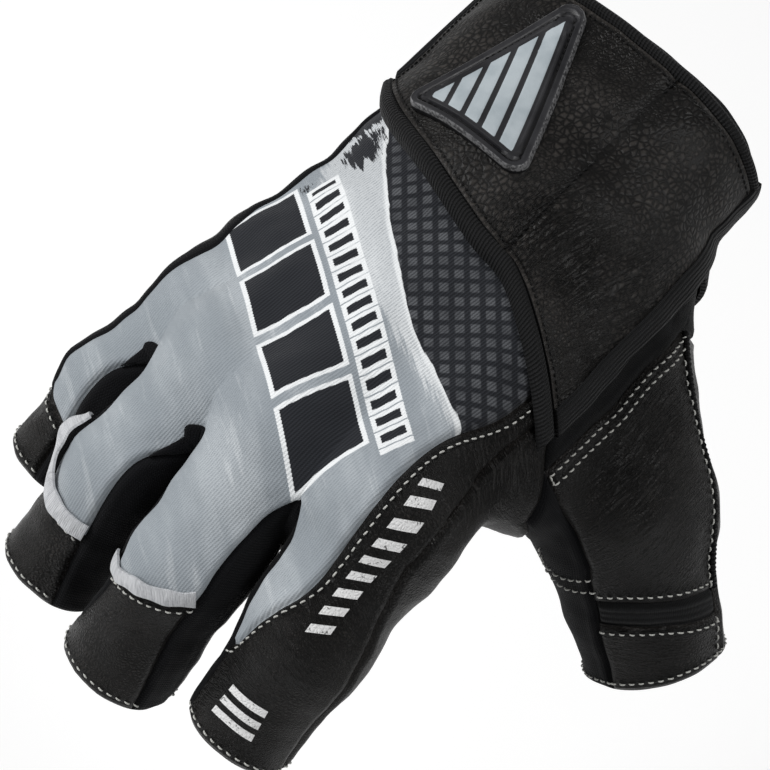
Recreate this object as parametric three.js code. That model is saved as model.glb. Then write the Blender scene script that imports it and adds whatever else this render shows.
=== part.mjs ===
// Fitness glove for a right hand, open at the wrist, at the four fingers and at the thumb.
// Millimetres. +Z is the back of the hand, -Y the way the fingers point, +X the thumb side.
// The origin is the centre of the wrist opening.
import * as THREE from "three";

// Driving sizes of the hand that the glove is cut for, measured over the glove
const handLength = 200; // wrist opening to the tip of the bare middle finger
const handBreadth = 100; // across the knuckles
const handDepth = 40; // through the wrist

// Walls
const clothWall = 1.5; // printed twill of the back, with its lining
const leatherWall = 1.7; // palm and side leather
const stretchWall = 1.3; // stretch cloth between the fingers and on the thumb
const cuffWall = 2.2; // neoprene of the cuff
const bandWall = 1.5; // ribbed elastic round the thumb
const seamGap = 0.5; // between two panels along a seam

// Wrist strap
const strapLift = 0.8; // from the cuff to the strap
const strapWall = 2.4; // padded leather
const elasticWall = 1.6; // elastic under the wrist
const endOverlap = 22; // length of strap end that lies on the elastic
const frontBinding = 5; // width of the binding along the front edge
const rearBinding = 3.7; // width of the binding along the rear edge
const endBinding = 3.6; // width of the binding along the strap end
const bindingWall = 3; // thickness of the bindings
const badgeLift = 0.4; // from the strap leather to the badge
const badgeWall = 2; // thickness of the rubber badge
const badgeCorner = 4.5; // corner radius of the badge

// Pull tapes on the ring and middle finger
const tapeWidth = 3.4;
const tapeWall = 1.1;
const tapeLift = 0.5; // from the finger to the tape

// How far neighbouring bones melt together, as shares of the hand's depth
const bodyBlend = 0.25;
const fingerBlend = 0.15;
const crotchBlend = 0.01;
const thumbBlend = 0.5;

// Mesh density
const bodyRows = 14; // from the cuff seam to the finger roots
const rootRows = 9; // of those, the rows beside the thumb root
const clothRows = 5; // finger root to cap seam
const capRows = 3; // cap seam to hem
const fingerRows = clothRows + capRows;
const cuffRows = 8;
const backColumns = 5; // across each finger's share of the back
const sideColumns = 3; // across the index leather and the strip beside it
const palmColumns = 6; // across each finger's share of the palm
const sideWallColumns = 5; // back edge to palm edge between two fingers
const stitchColumns = 8; // along the thumb's leather edge
const heelColumns = 3; // from the thumb's outer edge to the heel of the hand
const strapRows = 16;
const strapColumns = 9;
const elasticRows = 14;
const elasticColumns = 5;
const badgeArcSteps = 4; // round each corner of the badge
const badgeSideSteps = 6; // along each side
const badgeRings = 3;
const tapeRows = 10;
const tapeColumns = 1;

// A point from shares of the hand's breadth, length and depth
function at([x, y, z]) {
  return new THREE.Vector3(x * handBreadth, y * handLength, z * handDepth);
}

// Bones: ends as shares of breadth, length and depth, radii as shares of the depth
const bodyBones = [
  { from: [-0.17, 0.07, 0], fromRadius: 0.475, to: [-0.18, -0.25, -0.025], toRadius: 0.475 },
  { from: [0.155, 0.07, 0], fromRadius: 0.5, to: [0.18, -0.25, -0.05], toRadius: 0.49 },
  { from: [0, 0.07, 0.025], fromRadius: 0.5, to: [0, -0.25, 0.05], toRadius: 0.49 },
  { from: [0.16, -0.25, 0.075], fromRadius: 0.425, to: [0.33, -0.61, 0.075], toRadius: 0.425 },
  { from: [0.05, -0.25, 0.125], fromRadius: 0.425, to: [0.065, -0.615, 0.15], toRadius: 0.39 },
  { from: [-0.06, -0.25, 0.1], fromRadius: 0.425, to: [-0.17, -0.59, 0.025], toRadius: 0.36 },
  { from: [-0.13, -0.25, -0.025], fromRadius: 0.4, to: [-0.33, -0.535, -0.175], toRadius: 0.325 },
  { from: [-0.18, -0.26, -0.15], fromRadius: 0.375, to: [-0.295, -0.44, -0.2], toRadius: 0.375 },
];
const thumbRootBones = [
  { from: [0.3, -0.235, -0.3], fromRadius: 0.5, to: [0.6, -0.365, -0.75], toRadius: 0.51 },
  { from: [0.3, -0.37, -0.15], fromRadius: 0.35, to: [0.43, -0.445, -0.275], toRadius: 0.29 },
];
const digits = {
  pinky: [
    { joint: [-0.33, -0.535, -0.175], radius: 0.325 },
    { joint: [-0.425, -0.655, -0.53], radius: 0.28 },
    { joint: [-0.475, -0.748, -0.975], radius: 0.275 },
  ],
  ring: [
    { joint: [-0.17, -0.59, 0.025], radius: 0.36 },
    { joint: [-0.224, -0.74, -0.35], radius: 0.295 },
    { joint: [-0.265, -0.845, -0.95], radius: 0.32 },
  ],
  middle: [
    { joint: [0.065, -0.615, 0.15], radius: 0.39 },
    { joint: [0.052, -0.775, -0.25], radius: 0.315 },
    { joint: [0.015, -0.885, -0.9], radius: 0.33 },
  ],
  index: [
    { joint: [0.33, -0.61, 0.075], radius: 0.425 },
    { joint: [0.36, -0.755, -0.275], radius: 0.335 },
    { joint: [0.335, -0.86, -0.775], radius: 0.315 },
  ],
  thumb: [
    { joint: [0.6, -0.365, -0.75], radius: 0.51 },
    { joint: [0.835, -0.43, -1.475], radius: 0.395 },
  ],
};

// Signed distance to one bone, a cone with round ends
function boneMaker(from, fromRadius, to, toRadius) {
  const start = at(from);
  const axis = at(to).sub(start);
  const startRadius = fromRadius * handDepth;
  const endRadius = toRadius * handDepth;
  const lengthSquared = axis.lengthSq();
  const drop = startRadius - endRadius;
  const slant = lengthSquared - drop * drop;
  const side = new THREE.Vector3();
  const offset = new THREE.Vector3();
  return (point) => {
    offset.copy(point).sub(start);
    const along = offset.dot(axis);
    const beyond = along - lengthSquared;
    side.copy(offset).multiplyScalar(lengthSquared).addScaledVector(axis, -along);
    const side2 = side.lengthSq();
    const along2 = along * along * lengthSquared;
    const beyond2 = beyond * beyond * lengthSquared;
    const k = Math.sign(drop) * drop * drop * side2;
    if (Math.sign(beyond) * slant * beyond2 > k) {
      return Math.sqrt(side2 + beyond2) / lengthSquared - endRadius;
    }
    if (Math.sign(along) * slant * along2 < k) {
      return Math.sqrt(side2 + along2) / lengthSquared - startRadius;
    }
    return (Math.sqrt(side2 * slant / lengthSquared) + along * drop) / lengthSquared - startRadius;
  };
}

function melt(a, b, reach) {
  const h = Math.max(reach - Math.abs(a - b), 0) / reach;
  return Math.min(a, b) - (h * h * reach) / 4;
}

const bodyParts = bodyBones.map((b) => boneMaker(b.from, b.fromRadius, b.to, b.toRadius));
const rootParts = thumbRootBones.map((b) => boneMaker(b.from, b.fromRadius, b.to, b.toRadius));
const digitForms = Object.fromEntries(
  Object.entries(digits).map(([name, joints]) => {
    const parts = joints
      .slice(1)
      .map((end, i) => boneMaker(joints[i].joint, joints[i].radius, end.joint, end.radius));
    const meltParts = (a, b) => melt(a, b, fingerBlend * handDepth);
    return [name, (point) => parts.map((part) => part(point)).reduce(meltParts)];
  }),
);

// Signed distance to the outside of the glove's panels
function form(point) {
  let body = bodyParts.map((part) => part(point)).reduce((a, b) => melt(a, b, bodyBlend * handDepth));
  rootParts.forEach((part) => {
    body = melt(body, part(point), thumbBlend * handDepth);
  });
  const fingers = Object.values(digitForms)
    .map((digitForm) => digitForm(point))
    .reduce((a, b) => melt(a, b, crotchBlend * handDepth));
  return melt(body, fingers, fingerBlend * handDepth);
}

const probe = 0.05;
const axes = ["x", "y", "z"];
function normalAt(point, shape = form) {
  const slope = new THREE.Vector3();
  const near = point.clone();
  axes.forEach((axis) => {
    near[axis] = point[axis] + probe;
    const ahead = shape(near);
    near[axis] = point[axis] - probe;
    slope[axis] = ahead - shape(near);
    near[axis] = point[axis];
  });
  return slope.normalize();
}

// Moves a guide point along the slope to the surface of a shape
const settleSteps = 9;
const longestStep = 5;
function settleOn(shape, guide) {
  const point = guide.clone();
  for (let i = 0; i < settleSteps; i++) {
    const distance = THREE.MathUtils.clamp(shape(point), -longestStep, longestStep);
    point.addScaledVector(normalAt(point, shape), -distance);
  }
  return point;
}
function settle(guide) {
  return settleOn(form, guide);
}

// Place on a digit: share of the way from its first to its last joint, and degrees round it.
// 0 degrees is the back of the digit and +90 its thumb side; on the thumb, +90 faces the wrist.
const jointSpread = 0.25; // share of a finger over which its direction turns at the joint, each way
const up = new THREE.Vector3(0, 0, 1);
const down = new THREE.Vector3(0, 0, -1);
function digitPlace(name, share, degrees) {
  const joints = digits[name].map((row) => at(row.joint));
  const spans = joints.slice(1).map((joint, i) => joint.distanceTo(joints[i]));
  const whole = spans.reduce((a, b) => a + b);
  const firstShare = spans[0] / whole;
  const along = share * whole;
  const bone = spans.length > 1 && share > firstShare ? 1 : 0;
  const run = bone ? along - spans[0] : along;
  const direction = joints[bone + 1].clone().sub(joints[bone]).normalize();
  const centre = joints[bone].clone().addScaledVector(direction, run);
  if (spans.length > 1) {
    const other = joints[2 - bone].clone().sub(joints[1 - bone]).normalize();
    const turn = Math.max(0, 1 - Math.abs(share - firstShare) / jointSpread) / 2;
    direction.lerp(other, turn).normalize();
  }
  const across = up.clone().cross(direction).normalize();
  const over = direction.clone().cross(across);
  const rows = digits[name];
  const boneShare = run / spans[bone];
  const radius = THREE.MathUtils.lerp(rows[bone].radius, rows[bone + 1].radius, boneShare) * handDepth;
  const angle = THREE.MathUtils.degToRad(degrees);
  return settle(
    centre.addScaledVector(over, radius * Math.cos(angle)).addScaledVector(across, radius * Math.sin(angle)),
  );
}

// A smooth curve through the keys, as count + 1 points on the form, evenly spread
function rail(keys, count) {
  const curve = new THREE.CatmullRomCurve3(keys, false, "centripetal");
  return curve.getSpacedPoints(count).map(settle);
}

// Points across a row, from the first rail point to the last, with columns[i] steps between two of them
function across(points, columns) {
  const row = [points[0]];
  points.slice(1).forEach((end, i) => {
    for (let c = 1; c <= columns[i]; c++) {
      const last = c === columns[i];
      row.push(last ? end : settle(points[i].clone().lerp(end, c / columns[i])));
    }
  });
  return row;
}

// A patch is a list of rows of points. These rows lie between rails with the same number of points.
function patch(rails, columns) {
  return rails[0].map((_, r) => across(rails.map((points) => points[r]), columns));
}

// The way that the wall faces at points between two fingers, where the form has no clear slope
const facings = new Map();
function keyOf(point) {
  return point.toArray().map((v) => Math.round(v * 2000)).join();
}
function setFacing(point, direction) {
  facings.set(keyOf(point), direction.clone().normalize());
}

// One closed solid from patches: outside and inside at the given heights over the form, joined by a rim.
// Shared points are merged, and the free edges are drawn in by half a seam gap.
function solid(patches, outside, inside, inset = seamGap / 2) {
  const points = [];
  const found = new Map();
  function indexOf(point) {
    const key = keyOf(point);
    if (!found.has(key)) {
      found.set(key, points.length);
      points.push(point.clone());
    }
    return found.get(key);
  }
  const normals = [];
  const faces = [];
  patches.forEach((rows) => {
    const loops = [];
    rows.slice(1).forEach((row, r) => {
      row.slice(1).forEach((_, c) => {
        const corners = [rows[r][c], rows[r][c + 1], row[c + 1], row[c]].map(indexOf);
        const loop = corners.filter((corner, i) => corner !== corners[(i + 1) % corners.length]);
        if (loop.length > 2) loops.push(loop);
      });
    });
    for (let i = normals.length; i < points.length; i++) {
      normals.push(facings.get(keyOf(points[i])) ?? normalAt(points[i]));
    }
    let facing = 0;
    loops.forEach(([a, b, c]) => {
      const spread = points[b].clone().sub(points[a]).cross(points[c].clone().sub(points[a]));
      facing += spread.dot(normals[a]);
    });
    loops.forEach((loop) => {
      const turned = facing < 0 ? loop.slice().reverse() : loop;
      for (let i = 1; i < turned.length - 1; i++) faces.push([turned[0], turned[i], turned[i + 1]]);
    });
  });
  const edges = new Map();
  faces.forEach((face) => {
    face.forEach((a, i) => {
      const b = face[(i + 1) % 3];
      const twin = b + "," + a;
      if (edges.has(twin)) edges.delete(twin);
      else edges.set(a + "," + b, [a, b, face[(i + 2) % 3]]);
    });
  });
  const pull = points.map(() => new THREE.Vector3());
  edges.forEach(([a, b, inner]) => {
    const edge = points[b].clone().sub(points[a]).normalize();
    const inward = points[inner].clone().sub(points[a]);
    inward.addScaledVector(edge, -inward.dot(edge)).normalize();
    pull[a].add(inward);
    pull[b].add(inward);
  });
  const count = points.length;
  const positions = new Float32Array(count * 6);
  points.forEach((point, i) => {
    if (pull[i].lengthSq() > 0) {
      const shrink = Math.min(2 / pull[i].length(), 2);
      point.addScaledVector(pull[i].normalize(), inset * shrink);
    }
    const top = typeof outside === "function" ? outside(point) : outside;
    const bottom = typeof inside === "function" ? inside(point) : inside;
    point.clone().addScaledVector(normals[i], top).toArray(positions, i * 3);
    point.clone().addScaledVector(normals[i], bottom).toArray(positions, (count + i) * 3);
  });
  const index = [];
  faces.forEach(([a, b, c]) => index.push(a, b, c, count + a, count + c, count + b));
  edges.forEach(([a, b]) => index.push(b, a, count + a, b, count + a, count + b));
  const geometry = new THREE.BufferGeometry();
  geometry.setAttribute("position", new THREE.BufferAttribute(positions, 3));
  geometry.setIndex(index);
  geometry.computeVertexNormals();
  return geometry;
}

const glove = new THREE.Group();
function addPiece(name, geometry, color, roughness) {
  const material = new THREE.MeshStandardMaterial({ color, roughness, metalness: 0 });
  const mesh = new THREE.Mesh(geometry, material);
  mesh.name = name;
  glove.add(mesh);
}
const twill = 0x9da2a8;
const leather = 0x1d1a19;
const stretch = 0x111214;
const neoprene = 0x141518;
const rubber = 0x3a3a3d;
const tapeGrey = 0xa9acae;

// Seams of the body, rear to front, as shares of breadth, length and depth.
// Each ends at a finger: the slot between two fingers starts at the last point of an inner seam.
const backSeams = {
  pinkySide: [[-0.34, -0.2, 0.15], [-0.37, -0.375, 0.075], [-0.425, -0.52, 0.025]],
  pinkyRing: [[-0.21, -0.255, 0.45], [-0.3, -0.46, 0.25], [-0.365, -0.62, -0.1]],
  ringMiddle: [[-0.02, -0.3, 0.55], [-0.08, -0.5, 0.5], [-0.12, -0.685, 0.1]],
  middleIndex: [[0.18, -0.32, 0.55], [0.2, -0.52, 0.5], [0.2, -0.68, 0.25]],
  indexCloth: [[0.42, -0.4, 0.3], [0.4, -0.475, 0.35], [0.36, -0.56, 0.5]],
  indexLeather: [[0.46, -0.42, 0.2], [0.45, -0.485, 0.25], [0.455, -0.54, 0.28], [0.48, -0.605, 0.33]],
};
const palmSeams = {
  pinkyEdge: [[-0.37, -0.2, -0.2], [-0.41, -0.38, -0.35], [-0.46, -0.52, -0.45]],
  pinkyRing: [[-0.22, -0.22, -0.45], [-0.23, -0.45, -0.6], [-0.25, -0.64, -0.62]],
  ringMiddle: [[0, -0.23, -0.45], [-0.03, -0.47, -0.4], [-0.055, -0.7, -0.48]],
  middleIndex: [[0.2, -0.22, -0.55], [0.19, -0.47, -0.4], [0.186, -0.705, -0.4]],
};
// The seam loop round the thumb's root, in four stretches
const rootSeams = {
  stitched: [[0.52, -0.46, 0.025], [0.52, -0.405, 0.025], [0.52, -0.345, 0], [0.51, -0.28, 0],
    [0.5, -0.205, -0.1]],
  heel: [[0.5, -0.205, -0.1], [0.46, -0.19, -0.45], [0.36, -0.19, -0.7]],
  palm: [[0.36, -0.19, -0.7], [0.39, -0.28, -0.95], [0.42, -0.36, -1], [0.46, -0.43, -0.8],
    [0.53, -0.498, -0.25]],
  web: [[0.52, -0.46, 0.025], [0.54, -0.48, -0.1], [0.53, -0.498, -0.25]],
};
const indexPalmStart = [0.5, -0.565, -0.2]; // between the thumb's web and the index finger

// Edges of the cloth and of the caps on each finger: share along the finger and degrees round it,
// for the rows named in the table. The first row of an inner edge is the slot's end.
const edgeRows = [2, clothRows, fingerRows];
const backEdges = {
  pinky: {
    start: { left: [0.25, -58], edge: [0.38, -150] },
    left: [[0.42, -58], [0.68, -56], [1, -56]],
    right: [[0.42, 12], [0.73, 18], [1, 26]],
  },
  ring: {
    left: [[0.42, -58], [0.68, -64], [1, -72]],
    right: [[0.4, 27], [0.7, 34], [1, 47]],
  },
  middle: {
    left: [[0.38, -64], [0.66, -42], [1, -72]],
    right: [[0.3, 48], [0.54, 50], [1, 66]],
  },
  index: {
    start: { cloth: [0.17, 3], leather: [0.12, 52], palm: [0.12, 112] },
    left: [[0.37, -57], [0.68, -48], [1, -50]],
    cloth: [[0.36, -4], [0.655, -37]],
    tip: [[0.82, -12], [1, 22]],
    leather: [[0.3, 63], [0.62, 78], [1, 100]],
    palm: [[0.3, 122], [0.62, 130], [1, 138]],
  },
};
const palmEdges = {
  pinky: { right: [[0.62, 104], [0.8, 112], [1, 116]] },
  ring: {
    left: [[0.6, -108], [0.78, -112], [1, -116]],
    right: [[0.6, 106], [0.78, 112], [1, 116]],
  },
  middle: {
    left: [[0.6, -106], [0.78, -112], [1, -116]],
    right: [[0.6, 106], [0.78, 112], [1, 116]],
  },
  index: { left: [[0.6, -106], [0.78, -112], [1, -116]] },
};

// Points of an edge along a finger, one per row from the finger's root to its hem
function fingerEdge(name, start, keys, rows = edgeRows) {
  const stops = [0, ...rows];
  const places = [start, ...keys.map(([share, degrees]) => digitPlace(name, share, degrees))];
  const curve = new THREE.CatmullRomCurve3(places, false, "centripetal");
  const points = [start];
  stops.slice(1).forEach((stop, i) => {
    for (let r = stops[i] + 1; r <= stop; r++) {
      const t = (i + (r - stops[i]) / (stop - stops[i])) / (stops.length - 1);
      points.push(r === stop ? places[i + 1] : settle(curve.getPoint(t)));
    }
  });
  return points;
}
function placesOf(shares) {
  return shares.map(at);
}

// The gaps between neighbouring fingers, with the edges that run along them
const gaps = [
  { name: "fourchette_ring_pinky", digits: ["pinky", "ring"], edges: ["pinkyRight", "ringLeft"] },
  { name: "fourchette_middle_ring", digits: ["ring", "middle"], edges: ["ringRight", "middleLeft"] },
  { name: "fourchette_index_middle", digits: ["middle", "index"], edges: ["middleRight", "indexLeft"] },
];
function aheadOf(name) {
  const [knuckle, joint] = digits[name].map((row) => at(row.joint));
  return joint.sub(knuckle).normalize();
}
gaps.forEach((gap) => {
  const [first, second] = gap.digits;
  gap.ahead = aheadOf(first).add(aheadOf(second)).normalize();
  gap.sideways = at(digits[second][0].joint).sub(at(digits[first][0].joint)).normalize();
  gap.lean = (point) => (digitForms[second](point) - digitForms[first](point)) / 2;
});
// Moves a guide point to the surface halfway between two fingers
const grooveSteps = 60;
const settled = 0.1; // distance from the form at which a point counts as on it
function march(gap, guide, outwards, inwards) {
  const point = guide.clone();
  for (let i = 0; i < grooveSteps; i++) {
    point.addScaledVector(gap.sideways, gap.lean(point));
    const distance = form(point);
    point.addScaledVector(distance < 0 ? outwards : inwards, -distance);
  }
  return point;
}
// The point lies above or below the guide, or nearer to the hand where the gap is open there
function intoGroove(gap, guide, direction) {
  const upright = march(gap, guide, direction, direction);
  return Math.abs(form(upright)) < settled ? upright : march(gap, guide, direction, gap.ahead);
}
function seamToGap(seam, gap, direction) {
  const places = placesOf(seam);
  places.push(intoGroove(gap, places.pop(), direction));
  return rail(places, bodyRows);
}

// Body rails
const start = {
  pinkySide: digitPlace("pinky", ...backEdges.pinky.start.left),
  pinkyEdge: digitPlace("pinky", ...backEdges.pinky.start.edge),
  indexCloth: digitPlace("index", ...backEdges.index.start.cloth),
  indexLeather: digitPlace("index", ...backEdges.index.start.leather),
  indexPalm: digitPlace("index", ...backEdges.index.start.palm),
};
const back = {
  pinkySide: rail([...placesOf(backSeams.pinkySide), start.pinkySide], bodyRows),
  pinkyRing: seamToGap(backSeams.pinkyRing, gaps[0], up),
  ringMiddle: seamToGap(backSeams.ringMiddle, gaps[1], up),
  middleIndex: seamToGap(backSeams.middleIndex, gaps[2], up),
  indexCloth: rail([...placesOf(backSeams.indexCloth), start.indexCloth], bodyRows),
  indexLeather: rail([...placesOf(backSeams.indexLeather), start.indexLeather], bodyRows),
};
const palm = {
  pinkyEdge: rail([...placesOf(palmSeams.pinkyEdge), start.pinkyEdge], bodyRows),
  pinkyRing: seamToGap(palmSeams.pinkyRing, gaps[0], down),
  ringMiddle: seamToGap(palmSeams.ringMiddle, gaps[1], down),
  middleIndex: seamToGap(palmSeams.middleIndex, gaps[2], down),
};
const root = {
  stitched: rail(placesOf(rootSeams.stitched), stitchColumns),
  heel: rail(placesOf(rootSeams.heel), heelColumns),
  palm: rail(placesOf(rootSeams.palm), rootRows),
  web: rail(placesOf(rootSeams.web), rootRows),
};
root.heel[0] = root.stitched[stitchColumns];
root.palm[0] = root.heel[heelColumns];
root.web[0] = root.stitched[0];
root.web[rootRows] = root.palm[rootRows];
const indexPalmRail = rail(
  [root.palm[rootRows], at(indexPalmStart), start.indexPalm],
  bodyRows - rootRows,
).slice(1);
const stripEdge = [...root.web, ...indexPalmRail];
const palmEdge = [...root.palm, ...indexPalmRail];

// Finger rails. Each list starts with the last point of its body rail.
const last = (points) => points[points.length - 1];
const edge = {
  pinkyLeft: fingerEdge("pinky", last(back.pinkySide), backEdges.pinky.left),
  pinkyRight: fingerEdge("pinky", last(back.pinkyRing), backEdges.pinky.right),
  ringLeft: fingerEdge("ring", last(back.pinkyRing), backEdges.ring.left),
  ringRight: fingerEdge("ring", last(back.ringMiddle), backEdges.ring.right),
  middleLeft: fingerEdge("middle", last(back.ringMiddle), backEdges.middle.left),
  middleRight: fingerEdge("middle", last(back.middleIndex), backEdges.middle.right),
  indexLeft: fingerEdge("index", last(back.middleIndex), backEdges.index.left),
  indexCloth: fingerEdge("index", last(back.indexCloth), backEdges.index.cloth, [2, clothRows]),
  indexLeather: fingerEdge("index", last(back.indexLeather), backEdges.index.leather),
  indexPalm: fingerEdge("index", last(stripEdge), backEdges.index.palm),
};
const front = {
  pinkyRight: fingerEdge("pinky", last(palm.pinkyRing), palmEdges.pinky.right),
  ringLeft: fingerEdge("ring", last(palm.pinkyRing), palmEdges.ring.left),
  ringRight: fingerEdge("ring", last(palm.ringMiddle), palmEdges.ring.right),
  middleLeft: fingerEdge("middle", last(palm.ringMiddle), palmEdges.middle.left),
  middleRight: fingerEdge("middle", last(palm.middleIndex), palmEdges.middle.right),
  indexLeft: fingerEdge("index", last(palm.middleIndex), palmEdges.index.left),
};
gaps.forEach((gap) => {
  gap.edges.forEach((edgeName, side) => {
    [edge[edgeName], front[edgeName]].forEach((points) => {
      points.slice(1).forEach((point) => setFacing(point, normalAt(point, digitForms[gap.digits[side]])));
    });
  });
  setFacing(edge[gap.edges[0]][0], gap.ahead.clone().add(up));
  setFacing(front[gap.edges[0]][0], gap.ahead.clone().sub(up));
});

// Back of printed cloth, one panel that runs on over the four fingers as far as their caps
const backBody = patch(
  [back.pinkySide, back.pinkyRing, back.ringMiddle, back.middleIndex, back.indexCloth],
  [backColumns, backColumns, backColumns, backColumns],
);
function rowsOf(points, from, to) {
  return points.slice(from, to + 1);
}
// A finger's patch takes over the last row of the body patch, so that the two join point by point
function fingerPatch(bodyRow, left, right, from, to, columns = backColumns) {
  const rows = patch([rowsOf(left, from, to), rowsOf(right, from, to)], [columns]);
  if (from === 0) rows[0] = bodyRow;
  return rows;
}
function bodyShare(body, number, columns = backColumns) {
  return last(body).slice(number * columns, (number + 1) * columns + 1);
}
const clothFingers = [
  [bodyShare(backBody, 0), edge.pinkyLeft, edge.pinkyRight],
  [bodyShare(backBody, 1), edge.ringLeft, edge.ringRight],
  [bodyShare(backBody, 2), edge.middleLeft, edge.middleRight],
  [bodyShare(backBody, 3), edge.indexLeft, edge.indexCloth],
].map(([bodyRow, left, right]) => fingerPatch(bodyRow, left, right, 0, clothRows));
addPiece("back_panel", solid([backBody, ...clothFingers], 0, -clothWall), twill, 0.85);

// Leather caps on three fingertips
["pinky", "ring", "middle"].forEach((name) => {
  const tip = fingerPatch(null, edge[name + "Left"], edge[name + "Right"], clothRows, fingerRows);
  addPiece(name + "_cap", solid([tip], 0, -leatherWall), leather, 0.7);
});

// Leather along the index finger: beside the cloth, then over the whole back of the fingertip
const sideBody = patch([back.indexCloth, back.indexLeather], [sideColumns]);
const sideFinger = fingerPatch(last(sideBody), edge.indexCloth, edge.indexLeather, 0, clothRows, sideColumns);
const tipRows = patch(
  [
    rowsOf(edge.indexLeft, clothRows, fingerRows),
    fingerEdge("index", last(edge.indexCloth), backEdges.index.tip, [1, capRows]),
    rowsOf(edge.indexLeather, clothRows, fingerRows),
  ],
  [backColumns, sideColumns],
);
tipRows[0] = [...last(clothFingers[3]).slice(0, -1), ...last(sideFinger)];
addPiece("index_side_leather", solid([sideBody, sideFinger, tipRows], 0, -leatherWall), leather, 0.7);

// Palm leather: the palm, the fronts of the fingers and the strip beside the index leather
const palmBody = patch(
  [back.pinkySide, palm.pinkyEdge, palm.pinkyRing, palm.ringMiddle, palm.middleIndex, palmEdge],
  [palmColumns / 2, palmColumns / 2, palmColumns, palmColumns, palmColumns],
);
const underside = 180;
function fingerFront(number, name, left, right, midShares) {
  const middle = [settle(bodyShare(palmBody, number, palmColumns)[palmColumns / 2])];
  for (let r = 1; r <= fingerRows; r++) {
    const share = THREE.MathUtils.lerp(midShares[0], midShares[1], r / fingerRows);
    middle.push(digitPlace(name, share, underside + midShares[2]));
  }
  const half = palmColumns / 2;
  const rows = patch([left, middle, right], [half, half]);
  rows[0] = bodyShare(palmBody, number, palmColumns);
  return rows;
}
const palmFingers = [
  fingerFront(0, "pinky", edge.pinkyLeft, front.pinkyRight, [0.45, 1, 18]),
  fingerFront(1, "ring", front.ringLeft, front.ringRight, [0.5, 1, 0]),
  fingerFront(2, "middle", front.middleLeft, front.middleRight, [0.5, 1, 0]),
  fingerFront(3, "index", front.indexLeft, edge.indexPalm, [0.45, 1, 8]),
];
const stripBody = patch([back.indexLeather, stripEdge], [sideColumns]);
const stripFinger = patch([edge.indexLeather, edge.indexPalm], [sideColumns]);
addPiece(
  "palm_leather",
  solid([palmBody, ...palmFingers, stripBody, stripFinger], 0, -leatherWall),
  leather,
  0.7,
);

// Stretch cloth between two fingers, one strip down the side of the first and up the side of the next.
// Its middle row lies in the web, halfway between the fingers, where the gap between them opens.
const touching = 0.15; // fingers that press on each other by this little count as apart
const smallestMarch = 0.1;
function webRow(gap, top, bottom) {
  const row = [top];
  for (let c = 1; c < sideWallColumns; c++) {
    const point = top.clone().lerp(bottom, c / sideWallColumns);
    for (let i = 0; i < grooveSteps && form(point) < -touching; i++) {
      point.addScaledVector(gap.ahead, Math.max(-form(point) / 2, smallestMarch));
      point.addScaledVector(gap.sideways, gap.lean(point));
    }
    setFacing(point, gap.ahead);
    row.push(point);
  }
  row.push(bottom);
  return row;
}
function sideWall(shape, web, backPoints, frontPoints) {
  const chord = (c) => web[0].clone().lerp(last(web), c / sideWallColumns);
  const bulges = web.map((point, c) => point.clone().sub(chord(c)));
  return backPoints.slice(1).map((top, i) => {
    const fading = 1 - (i + 1) / fingerRows;
    const bottom = frontPoints[i + 1];
    return web.map((_, c) => {
      if (c === 0) return top;
      if (c === sideWallColumns) return bottom;
      const guide = top.clone().lerp(bottom, c / sideWallColumns).addScaledVector(bulges[c], fading);
      const point = settleOn(shape, guide);
      setFacing(point, normalAt(point, shape));
      return point;
    });
  });
}
gaps.forEach((gap) => {
  const [left, right] = gap.edges;
  const web = webRow(gap, edge[left][0], front[left][0]);
  const first = sideWall(digitForms[gap.digits[0]], web, edge[left], front[left]);
  const second = sideWall(digitForms[gap.digits[1]], web, edge[right], front[right]);
  addPiece(gap.name, solid([[...first.reverse(), web, ...second]], 0, -stretchWall), stretch, 0.95);
});

// Thumb: degrees round it at the ends of the four root stretches, at its middle and at its hem
const thumbTurns = {
  middle: [-43, 50, 130, 296, 317],
  hem: [-58, 52, 125, 280, 302],
};
const thumbMiddle = 0.15; // share along the thumb
const bandStart = 0.46;
const bandEnd = 0.62;
const bandTilt = 0.1; // the band sits this much farther down the thumb's outer side
const rootSteps = 5;
const leatherSteps = 2;
const bandSteps = 1;
const tipSteps = 2;
const stretchCounts = [stitchColumns, heelColumns, rootRows, rootRows];
const rootLoop = [
  ...root.stitched.slice(0, -1),
  ...root.heel.slice(0, -1),
  ...root.palm.slice(0, -1),
  ...root.web.slice().reverse(),
];
function turnsAt(table) {
  const turns = [table[0]];
  stretchCounts.forEach((count, i) => {
    for (let c = 1; c <= count; c++) turns.push(THREE.MathUtils.lerp(table[i], table[i + 1], c / count));
  });
  return turns;
}
const middleTurns = turnsAt(thumbTurns.middle);
const hemTurns = turnsAt(thumbTurns.hem);
const thumbCentre = rootLoop.map((_, c) => digitPlace("thumb", thumbMiddle, middleTurns[c]));
function thumbRow(t) {
  return rootLoop.map((_, c) => {
    const degrees = THREE.MathUtils.lerp(middleTurns[c], hemTurns[c], (t - thumbMiddle) / (1 - thumbMiddle));
    const tilt = bandTilt * Math.sin(THREE.MathUtils.degToRad(degrees)) * Math.min(1, 4 * (1 - t), 4 * t);
    return digitPlace("thumb", t + tilt, degrees);
  });
}
const thumbRows = [rootLoop];
for (let r = 1; r < rootSteps; r++) {
  thumbRows.push(rootLoop.map((point, c) => settle(point.clone().lerp(thumbCentre[c], r / rootSteps))));
}
thumbRows.push(thumbCentre);
[[thumbMiddle, bandStart, leatherSteps], [bandStart, bandEnd, bandSteps], [bandEnd, 1, tipSteps]].forEach(
  ([from, to, steps]) => {
    for (let r = 1; r <= steps; r++) thumbRows.push(thumbRow(THREE.MathUtils.lerp(from, to, r / steps)));
  },
);
thumbRows.forEach((row) => {
  row[row.length - 1] = row[0];
});
const bandRow = rootSteps + leatherSteps;
const tipRow = bandRow + bandSteps;
const hemRow = tipRow + tipSteps;
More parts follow.
